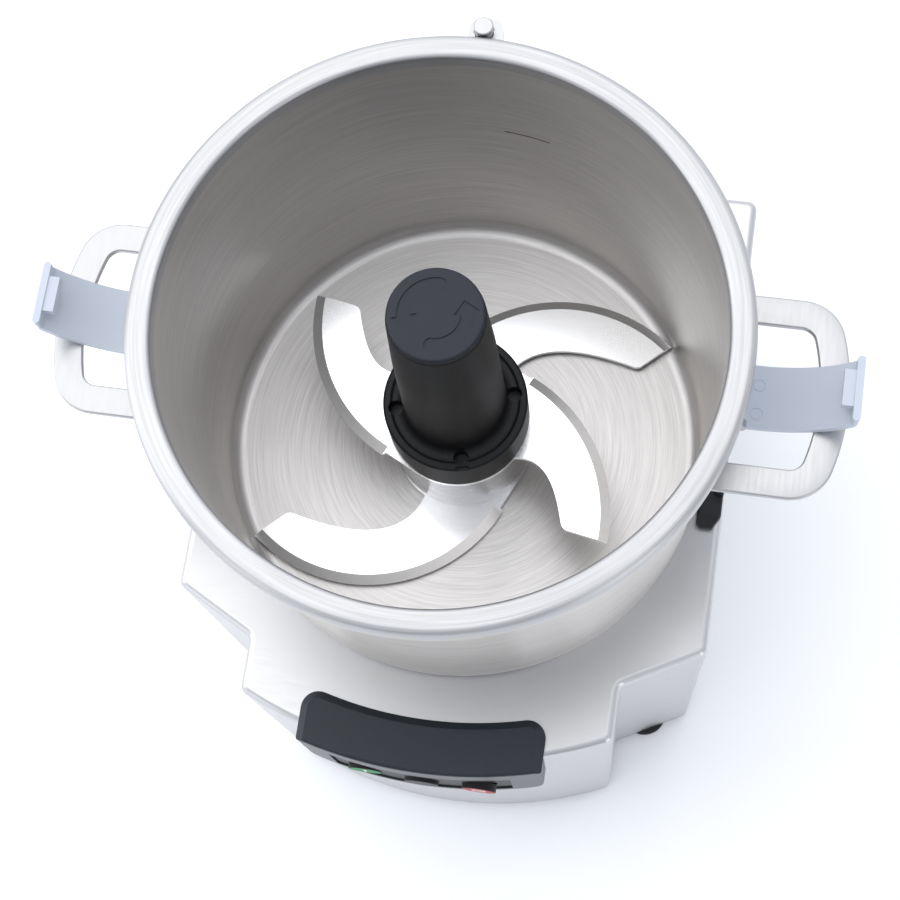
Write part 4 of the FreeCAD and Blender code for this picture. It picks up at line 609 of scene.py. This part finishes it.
def arrow_cutters(turn):
    """Band, tail and head of one arrow, turned about the axis."""
    band = swept_strip("band", ARROW_INNER, ARROW_OUTER, CAP_TOP - ARROW_DEPTH,
                       CAP_TOP + ARROW_DEPTH, BAND_START + turn, BAND_SWEEP, BAND_STEPS)
    tail = prism(TAIL_SIDES, ARROW_OUTER - ARROW_MIDDLE, ARROW_MIDDLE, BAND_START + turn)
    settle(tail)
    head = prism(HEAD_SIDES, HEAD_RADIUS, HEAD_DISTANCE, HEAD_ANGLE + turn,
                 HEAD_POINTS - math.pi / 2 + turn)
    head.scale = (1, HEAD_SHORTENED, 1)
    return [band, tail, settle(head)]


print("arrows between radius", round(ARROW_INNER / MM, 1), "and", round(ARROW_OUTER / MM, 1), "mm")

# %% Cap with sunk arrows
CUT_MERGE_DISTANCE = 0.002 * MM
CAP_SHARP_ANGLE = math.radians(30)


def merged_copy(node, name):
    """Copy of a solid with its loose triangles joined."""
    piece = own_copy(nodes[node], name)
    join_doubles(piece)
    return piece


def cut_away(piece, cutter):
    """Takes the cutter's shape out of the piece and removes the cutter."""
    pick(piece)
    bpy.ops.object.modifier_add(type="BOOLEAN")
    cut = piece.modifiers[-1]
    cut.operation = "DIFFERENCE"
    cut.solver = "EXACT"
    cut.object = cutter
    bpy.ops.object.modifier_apply(modifier=cut.name)
    bpy.data.objects.remove(cutter)


marked_cap = merged_copy("grip_cap", "marked_cap")
for turn in (0, math.pi):
    for cutter in arrow_cutters(turn):
        cut_away(marked_cap, cutter)
join_doubles(marked_cap, CUT_MERGE_DISTANCE)
smooth(marked_cap, CAP_SHARP_ANGLE)
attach(marked_cap, "knife_set")
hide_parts("grip_cap")
print("marked cap:", len(marked_cap.data.polygons), "faces, open edges", open_edges(marked_cap))

# %% [markdown]
# ## Loop handles
# A real loop handle is a flat steel strip, bent at two corners and bowed a little between them.
# The solid has small kinks where its corners end, so the loop is made again here from arcs that
# meet without a kink. The section of the strip is drawn once, extruded along the first leg, spun
# round the first corner, round the far middle of the bow and round the second corner, and extruded
# back. A cone with the slope of the bowl's wall then trims both legs. The left handle is a
# mirrored copy.

# %% Sizes of the loop
HANDLE_HALF = 41.6 * MM
HANDLE_END = 162.5 * MM
HANDLE_LOW = 325 * MM
HANDLE_HIGH = 328 * MM
HANDLE_MIDDLE = (HANDLE_LOW + HANDLE_HIGH) / 2
STRIP_WIDTH = 12 * MM
STRIP_EDGE = 0.8 * MM
STRIP_EDGE_STEPS = 4
CORNER = 18 * MM
BOW = 102.36 * MM
BEND_STEPS = 14
LEG_START = 90 * MM
bow_middle = HANDLE_END - BOW
corner_y = HANDLE_HALF - CORNER
corner_x = bow_middle + math.sqrt((BOW - CORNER) ** 2 - corner_y ** 2)
bow_angle = math.asin(corner_y / (BOW - CORNER))
print("corners end", round(math.degrees(bow_angle), 1), "degrees from the middle of the bow")


# %% Strip bent into a loop
def extrude_along(x):
    """Extrudes what is selected along the x axis."""
    bpy.ops.mesh.extrude_region_move(TRANSFORM_OT_translate={"value": (x, 0, 0)})


def strip_loop(name):
    """Right-hand loop, still running into the bowl."""
    middle = (LEG_START, -HANDLE_HALF + STRIP_WIDTH / 2, HANDLE_MIDDLE)
    bpy.ops.object.select_all(action="DESELECT")
    bpy.ops.mesh.primitive_plane_add(size=1, location=middle, rotation=(0, math.pi / 2, 0))
    loop = bpy.context.active_object
    loop.name = name
    loop.scale = (HANDLE_HIGH - HANDLE_LOW, STRIP_WIDTH, 1)
    settle(loop)
    open_mesh(loop)
    bpy.ops.mesh.bevel(offset=STRIP_EDGE, segments=STRIP_EDGE_STEPS, affect="VERTICES")
    bpy.ops.mesh.select_all(action="SELECT")
    extrude_along(corner_x - LEG_START)
    spin(BEND_STEPS, math.pi / 2 - bow_angle, (corner_x, -corner_y, 0))
    spin(BEND_STEPS, 2 * bow_angle, (bow_middle, 0, 0))
    spin(BEND_STEPS, math.pi / 2 - bow_angle, (corner_x, corner_y, 0))
    extrude_along(LEG_START - corner_x)
    bpy.ops.object.mode_set(mode="OBJECT")
    join_doubles(loop)
    face_outwards(loop)
    return loop


right_loop = strip_loop("right_loop")
print("loop before the trim: open edges", open_edges(right_loop), "and size in millimetres",
      [round(v / MM, 1) for v in right_loop.dimensions])

# %% Trim at the wall and left-hand copy
WALL_RADIUS = 112.47 * MM
WALL_SLOPE = 0.018
WALL_SIDES = 256
TRIM_HEIGHT = 20 * MM


def finish_loop(loop, node):
    """Smooth, coloured loop that takes a handle's place."""
    smooth(loop)
    loop.data.materials.append(trim_steel)
    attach(loop, "bowl_unit")
    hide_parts(node)
    print(loop.name, "faces", len(loop.data.polygons), "open edges", open_edges(loop))


bpy.ops.object.select_all(action="DESELECT")
bpy.ops.mesh.primitive_cone_add(vertices=WALL_SIDES, depth=TRIM_HEIGHT,
                                radius1=WALL_RADIUS - WALL_SLOPE * TRIM_HEIGHT / 2,
                                radius2=WALL_RADIUS + WALL_SLOPE * TRIM_HEIGHT / 2,
                                location=(0, 0, HANDLE_MIDDLE))
cut_away(right_loop, settle(bpy.context.active_object))
left_loop = own_copy(right_loop, "left_loop")
left_loop.scale = (-1, 1, 1)
settle(left_loop)
face_outwards(left_loop)
finish_loop(right_loop, "right_handle")
finish_loop(left_loop, "left_handle")

# %% [markdown]
# ## A finer skin for the rim
# The rolled rim is smooth, so it mirrors the lamps, and a mirror shows every facet. The solid's
# facets are too coarse for that along the inner edge. A thin skin with finer facets therefore lies
# over the rim, and stands six hundredths of a millimetre proud. It is made as on a lathe: a single
# point is extruded into the outline of the rim, both corners are bevelled, the line is spun
# through a full turn, and a Solidify modifier gives it its thickness to both sides.

# %% Outline of the rim
SKIN_THICKNESS = 0.5 * MM
SKIN_PROUD = 0.06 * MM
SKIN_DEPTH = SKIN_THICKNESS / 2 - SKIN_PROUD
RIM_TOP = 371 * MM - SKIN_DEPTH
RIM_INSIDE = 112 * MM + SKIN_DEPTH
RIM_OUTSIDE = 122.3 * MM - SKIN_DEPTH
SKIN_LOW_INSIDE = 368 * MM
SKIN_LOW_OUTSIDE = 362 * MM
INNER_EDGE = 2.2 * MM - SKIN_DEPTH
OUTER_EDGE = 3 * MM - SKIN_DEPTH
RIM_EDGE_STEPS = 10
RIM_STEPS = 360
SAME_PLACE = 0.01 * MM


def bevel_corner(piece, place, radius):
    """Rounds one corner of a line, with nothing else selected."""
    bpy.ops.mesh.select_all(action="DESELECT")
    bpy.ops.object.mode_set(mode="OBJECT")
    for vertex in piece.data.vertices:
        vertex.select = (vertex.co - Vector(place)).length < SAME_PLACE
    bpy.ops.object.mode_set(mode="EDIT")
    bpy.ops.mesh.bevel(offset=radius, segments=RIM_EDGE_STEPS, affect="VERTICES")


bpy.ops.object.select_all(action="DESELECT")
bpy.ops.mesh.primitive_plane_add(size=MM)
rim_skin = bpy.context.active_object
rim_skin.name = "rim_skin"
bpy.ops.object.mode_set(mode="EDIT")
bpy.ops.mesh.select_mode(type="VERT")
bpy.ops.mesh.select_all(action="SELECT")
bpy.ops.mesh.merge(type="CENTER")
bpy.ops.transform.translate(value=(RIM_INSIDE, 0, SKIN_LOW_INSIDE))
for step in ((0, 0, RIM_TOP - SKIN_LOW_INSIDE), (RIM_OUTSIDE - RIM_INSIDE, 0, 0),
             (0, 0, SKIN_LOW_OUTSIDE - RIM_TOP)):
    bpy.ops.mesh.extrude_vertices_move(TRANSFORM_OT_translate={"value": step})
bevel_corner(rim_skin, (RIM_INSIDE, 0, RIM_TOP), INNER_EDGE)
bevel_corner(rim_skin, (RIM_OUTSIDE, 0, RIM_TOP), OUTER_EDGE)
bpy.ops.object.mode_set(mode="OBJECT")
print("outline of the rim:", len(rim_skin.data.vertices), "points")

# %% Outline spun into a skin
open_mesh(rim_skin)
spin(RIM_STEPS, 2 * math.pi)
bpy.ops.object.mode_set(mode="OBJECT")
join_doubles(rim_skin)
face_outwards(rim_skin)
bpy.ops.object.modifier_add(type="SOLIDIFY")
skin_wall = rim_skin.modifiers[-1]
skin_wall.thickness = SKIN_THICKNESS
skin_wall.offset = 0
bpy.ops.object.modifier_apply(modifier=skin_wall.name)
smooth(rim_skin)
rim_skin.data.materials.append(bowl_steel)
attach(rim_skin, "bowl_unit")
print("rim skin:", len(rim_skin.data.polygons), "faces, open edges", open_edges(rim_skin),
      "and size in millimetres", [round(v / MM, 2) for v in rim_skin.dimensions])

# %% [markdown]
# ## Copy of the spring
# The lid presses the rod at the rear down, and the spring under the rod's collar is squeezed. A
# solid can't do that by itself, and the collar would cut into its coils. Here a copy of the
# spring, with its loose triangles joined and its shading smooth, takes the solid's place; it is
# not flattened.

# %% Copy of the spring
squeezed_spring = merged_copy("rod_spring", "squeezed_spring")
smooth(squeezed_spring)
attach(squeezed_spring, "bowl_unit")
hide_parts("rod_spring")
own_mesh(squeezed_spring)

# %% [markdown]
# ## Filling line in the bowl
# A thin brown line on the rear wall shows how far the bowl may be filled. The words beside it are
# left off. The strip follows the wall, so it is swept round the axis. The solid's wall is made of
# flat facets, and rays that start clear of the centre tube measure how near they come, so that the
# strip stands proud of all of them by a few hundredths of a millimetre.

# %% Filling line
LINE_HEIGHT = 308.7 * MM
LINE_WIDTH = 0.8 * MM
LINE_PROUD = 0.04 * MM
LINE_SUNK = 0.4 * MM
LINE_START = math.radians(75.3)
LINE_SWEEP = math.radians(10.5)
LINE_STEPS = 16
WALL_SAMPLES = 40
TUBE_CLEARED = 60 * MM


def touch(node, start, way):
    """Place and normal where a ray meets a solid."""
    _, place, normal, _ = nodes[node].ray_cast(start, way)
    return place, normal


def wall_radius(angle):
    """Inner radius of the bowl at the line's height."""
    middle = Vector((0, 0, LINE_HEIGHT))
    way = Vector((math.cos(angle), math.sin(angle), 0))
    place, _ = touch("bowl", middle + TUBE_CLEARED * way, way)
    return (place - middle).length


nearest_wall = min(wall_radius(LINE_START + LINE_SWEEP * i / WALL_SAMPLES)
                   for i in range(WALL_SAMPLES + 1))
filling_line = swept_strip("filling_line", nearest_wall - LINE_PROUD, nearest_wall + LINE_SUNK,
                           LINE_HEIGHT - LINE_WIDTH / 2, LINE_HEIGHT + LINE_WIDTH / 2,
                           LINE_START, LINE_SWEEP, LINE_STEPS)
line_brown = moulded("line_brown", (0.12, 0.07, 0.05), 0.5, grain_depth=0.01 * MM)
filling_line.data.materials.append(line_brown)
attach(filling_line, "bowl_unit")
print("filling line at radius", round(nearest_wall / MM, 2), "mm, open edges",
      open_edges(filling_line))

# %% [markdown]
# ## Pin marks on the clips
# Where pins pushed the moulded clip out of its mould, faint rings are left. Each is a very thin
# torus, half sunk in the surface. One ring is modelled and copied to the other places, and each
# copy gets a mesh of its own. A ray from above finds the height and the slope of the clip under
# it.

# %% Ring marks
RING_RADIUS = 2.4 * MM
RING_THICKNESS = 0.25 * MM
RING_DISTANCE = 127 * MM
RING_SIDEWAYS = (5 * MM, -7 * MM)
RING_STEPS = 40
RING_SIDES = 8
RAY_RUN = 1.0
bpy.ops.object.select_all(action="DESELECT")
bpy.ops.mesh.primitive_torus_add(major_segments=RING_STEPS, minor_segments=RING_SIDES,
                                 major_radius=RING_RADIUS, minor_radius=RING_THICKNESS)
first_ring = bpy.context.active_object


def ring_on(clip, x, y):
    """Copy of the ring that lies on a clip."""
    ring = own_copy(first_ring, "ring")
    place, normal = touch(clip, Vector((x, y, RAY_RUN)), Vector((0, 0, -1)))
    ring.location = place
    ring.rotation_euler = normal.to_track_quat("Z", "Y").to_euler()
    bpy.context.view_layer.update()
    return settle(ring)


for side, clip in ((1, "right_clip"), (-1, "left_clip")):
    rings = [ring_on(clip, side * RING_DISTANCE, y) for y in RING_SIDEWAYS]
    pick(rings[0])
    rings[1].select_set(True)
    bpy.ops.object.join()
    marks = bpy.context.active_object
    marks.name = clip + "_pin_marks"
    marks.data.materials.append(clip_plastic)
    bpy.ops.object.shade_smooth()
    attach(marks, clip)
    print(marks.name, "open edges", open_edges(marks))
bpy.data.objects.remove(first_ring)

# %% [markdown]
# ## Signs on the buttons
# A start button carries an upright bar and a stop button a ring, on machines of every make. They
# are light plastic let into the face and stand a tenth of a millimetre proud. The bar is a cube
# with bevelled edges and the ring is a torus, pressed flat along its axis.

# %% Helpers for signs
SIGN_PROUD = 0.1 * MM
sign_white = moulded("sign_white", (0.75, 0.75, 0.74), 0.4, grain_depth=0.01 * MM)


def face_middle(button):
    """Middle of a button's front face."""
    low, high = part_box(button)
    middle = (low + high) / 2
    place, _ = touch(button, Vector((middle.x, low.y - RAY_RUN, middle.z)), Vector((0, 1, 0)))
    return place


def finish_sign(sign, name, button):
    """Name, material and body of a sign."""
    sign.name = name
    settle(sign)
    sign.data.materials.append(sign_white)
    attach(sign, button)
    print(name, "open edges", open_edges(sign))


print("front faces at", [round(face_middle(button).y / MM, 1)
                         for button in ("start_button", "stop_button")], "mm")

# %% Bar and ring
BAR_HEIGHT = 6.5 * MM
BAR_WIDTH = 1.1 * MM
BAR_EDGE = 0.08 * MM
BAR_EDGE_STEPS = 2
SIGN_RING_RADIUS = 2.9 * MM
SIGN_RING_WIDTH = 1.1 * MM
SIGN_RING_STEPS = 40
SIGN_RING_SIDES = 12
bpy.ops.object.select_all(action="DESELECT")
bpy.ops.mesh.primitive_cube_add(size=1, location=face_middle("start_button"))
start_bar = bpy.context.active_object
start_bar.scale = (BAR_WIDTH, 2 * SIGN_PROUD, BAR_HEIGHT)
settle(start_bar)
open_mesh(start_bar)
bpy.ops.mesh.bevel(offset=BAR_EDGE, segments=BAR_EDGE_STEPS)
bpy.ops.object.mode_set(mode="OBJECT")
finish_sign(start_bar, "start_bar", "start_button")
bpy.ops.object.select_all(action="DESELECT")
bpy.ops.mesh.primitive_torus_add(major_segments=SIGN_RING_STEPS, minor_segments=SIGN_RING_SIDES,
                                 major_radius=SIGN_RING_RADIUS,
                                 minor_radius=SIGN_RING_WIDTH / 2,
                                 location=face_middle("stop_button"),
                                 rotation=(math.pi / 2, 0, 0))
stop_ring = bpy.context.active_object
stop_ring.scale = (1, 1, 2 * SIGN_PROUD / SIGN_RING_WIDTH)
bpy.ops.object.shade_smooth()
finish_sign(stop_ring, "stop_ring", "stop_button")

# %% [markdown]
# ## Floor
# A pale floor catches the soft shadow under the base. It is far larger than the view, so that its
# edges never show, and lies a hair below the feet.

# %% Pale floor
FLOOR_SIZE = 40
FLOOR_HEIGHT = -0.2 * MM
bpy.ops.object.select_all(action="DESELECT")
bpy.ops.mesh.primitive_plane_add(size=FLOOR_SIZE, location=(0, 0, FLOOR_HEIGHT))
floor = bpy.context.active_object
floor.name = "floor"
floor_paint, _ = plain_finish("floor_paint", (0.94, 0.945, 0.96), NOT_METAL, 0.9)
floor.data.materials.append(floor_paint)
print("floor", tuple(floor.dimensions[:2]))

# %% [markdown]
# ## Lamps
# Metal shows what is around it more than it shows light, so the lamps are large panels whose
# mirror images fill the surfaces. The main panel hangs behind the object, where the knives and the
# base's top mirror it towards the camera. A weaker one on the left lights the side of the base.
# Two small panels stand low in front, left and right, with a gap between them: the outside of the
# bowl mirrors them as two bright bands, and the gap as the dark one in the middle.

# %% Soft panels
WARM_WHITE = (1.0, 0.99, 0.97)
COOL_WHITE = (0.97, 0.98, 1.0)
BLUISH_WHITE = (0.95, 0.97, 1.0)


def soft_panel(name, place, aim, size, power, colour):
    """Rectangular lamp that faces a point."""
    bpy.ops.object.light_add(type="AREA", location=place)
    lamp = bpy.context.active_object
    lamp.name = name
    lamp.data.shape = "RECTANGLE"
    lamp.data.size, lamp.data.size_y = size
    lamp.data.energy = power
    lamp.data.color = colour
    lamp.rotation_euler = (Vector(aim) - Vector(place)).to_track_quat("-Z", "Y").to_euler()


soft_panel("main_panel", place=(-0.7, 0.75, 2.0), aim=(-0.35, 0.4, 0), size=(2.4, 2.5),
           power=20, colour=WARM_WHITE)
soft_panel("left_panel", place=(-1.6, -0.2, 0.9), aim=(0, 0, 0.2), size=(1.0, 1.2),
           power=6, colour=BLUISH_WHITE)
soft_panel("front_left_panel", place=(-1.1, -1.2, 0.55), aim=(0, 0, 0.25), size=(0.7, 0.9),
           power=2, colour=COOL_WHITE)
soft_panel("front_right_panel", place=(1.2, -1.0, 0.55), aim=(0, 0, 0.25), size=(0.7, 0.9),
           power=3, colour=COOL_WHITE)

# %% [markdown]
# ## Surround
# The surround is a pale room that is brighter behind and above than in front. Its darker side
# gives the bowl's wall and the panel's face their deep tones. The dot product of the direction of
# view and one bright direction says how far a ray looks towards the bright side.

# %% Pale room
BRIGHT_WAY = (-0.35, 0.75, 0.55)
DARK_SIDE = -0.8
BRIGHT_SIDE = 0.6
DARK_STRENGTH = 0.5
BRIGHT_STRENGTH = 1.3
ROOM_COLOUR = (0.91, 0.94, 1.0)
world = bpy.data.worlds.new("surround")
world.use_nodes = True
surround = world.node_tree
background = surround.nodes["Background"]
sky_way = surround.nodes.new("ShaderNodeTexCoord")
towards_bright = surround.nodes.new("ShaderNodeVectorMath")
towards_bright.operation = "DOT_PRODUCT"
towards_bright.inputs[1].default_value = Vector(BRIGHT_WAY).normalized()
surround.links.new(sky_way.outputs["Generated"], towards_bright.inputs[0])
strength = ramp(surround, towards_bright.outputs["Value"], DARK_SIDE, BRIGHT_SIDE,
                DARK_STRENGTH, BRIGHT_STRENGTH)
surround.links.new(strength, background.inputs["Strength"])
background.inputs["Color"].default_value = (*ROOM_COLOUR, 1)
bpy.context.scene.world = world
bpy.context.scene.view_settings.view_transform = "Standard"
print("surround from", DARK_STRENGTH, "to", BRIGHT_STRENGTH)

# %% [markdown]
# ## Camera
# The camera stands in front of the object, about a metre up, and looks steeply down into the bowl.
# It is also rolled a little, which is why the base seems to turn. Place, aim and roll are enough
# to describe that, and the lens is a short telephoto.

# %% Camera
CAMERA_PLACE = Vector((0.0894, -0.2355, 1.0516))
CAMERA_AIM = Vector((-0.00597, -0.00546, 0.206))
CAMERA_ROLL = math.radians(-14.65)
SENSOR_WIDTH = 36
LENS = 75.48
NEAREST = 0.05
FARTHEST = 20
bpy.ops.object.camera_add(location=CAMERA_PLACE)
camera = bpy.context.active_object
look = (CAMERA_AIM - CAMERA_PLACE).to_track_quat("-Z", "Y").to_matrix()
camera.rotation_euler = (look @ Matrix.Rotation(CAMERA_ROLL, 3, "Z")).to_euler()
camera.data.sensor_width = SENSOR_WIDTH
camera.data.lens = LENS
camera.data.clip_start = NEAREST
camera.data.clip_end = FARTHEST
bpy.context.scene.camera = camera
print("camera right:", [round(v, 4) for v in camera.rotation_euler.to_matrix().col[0]])
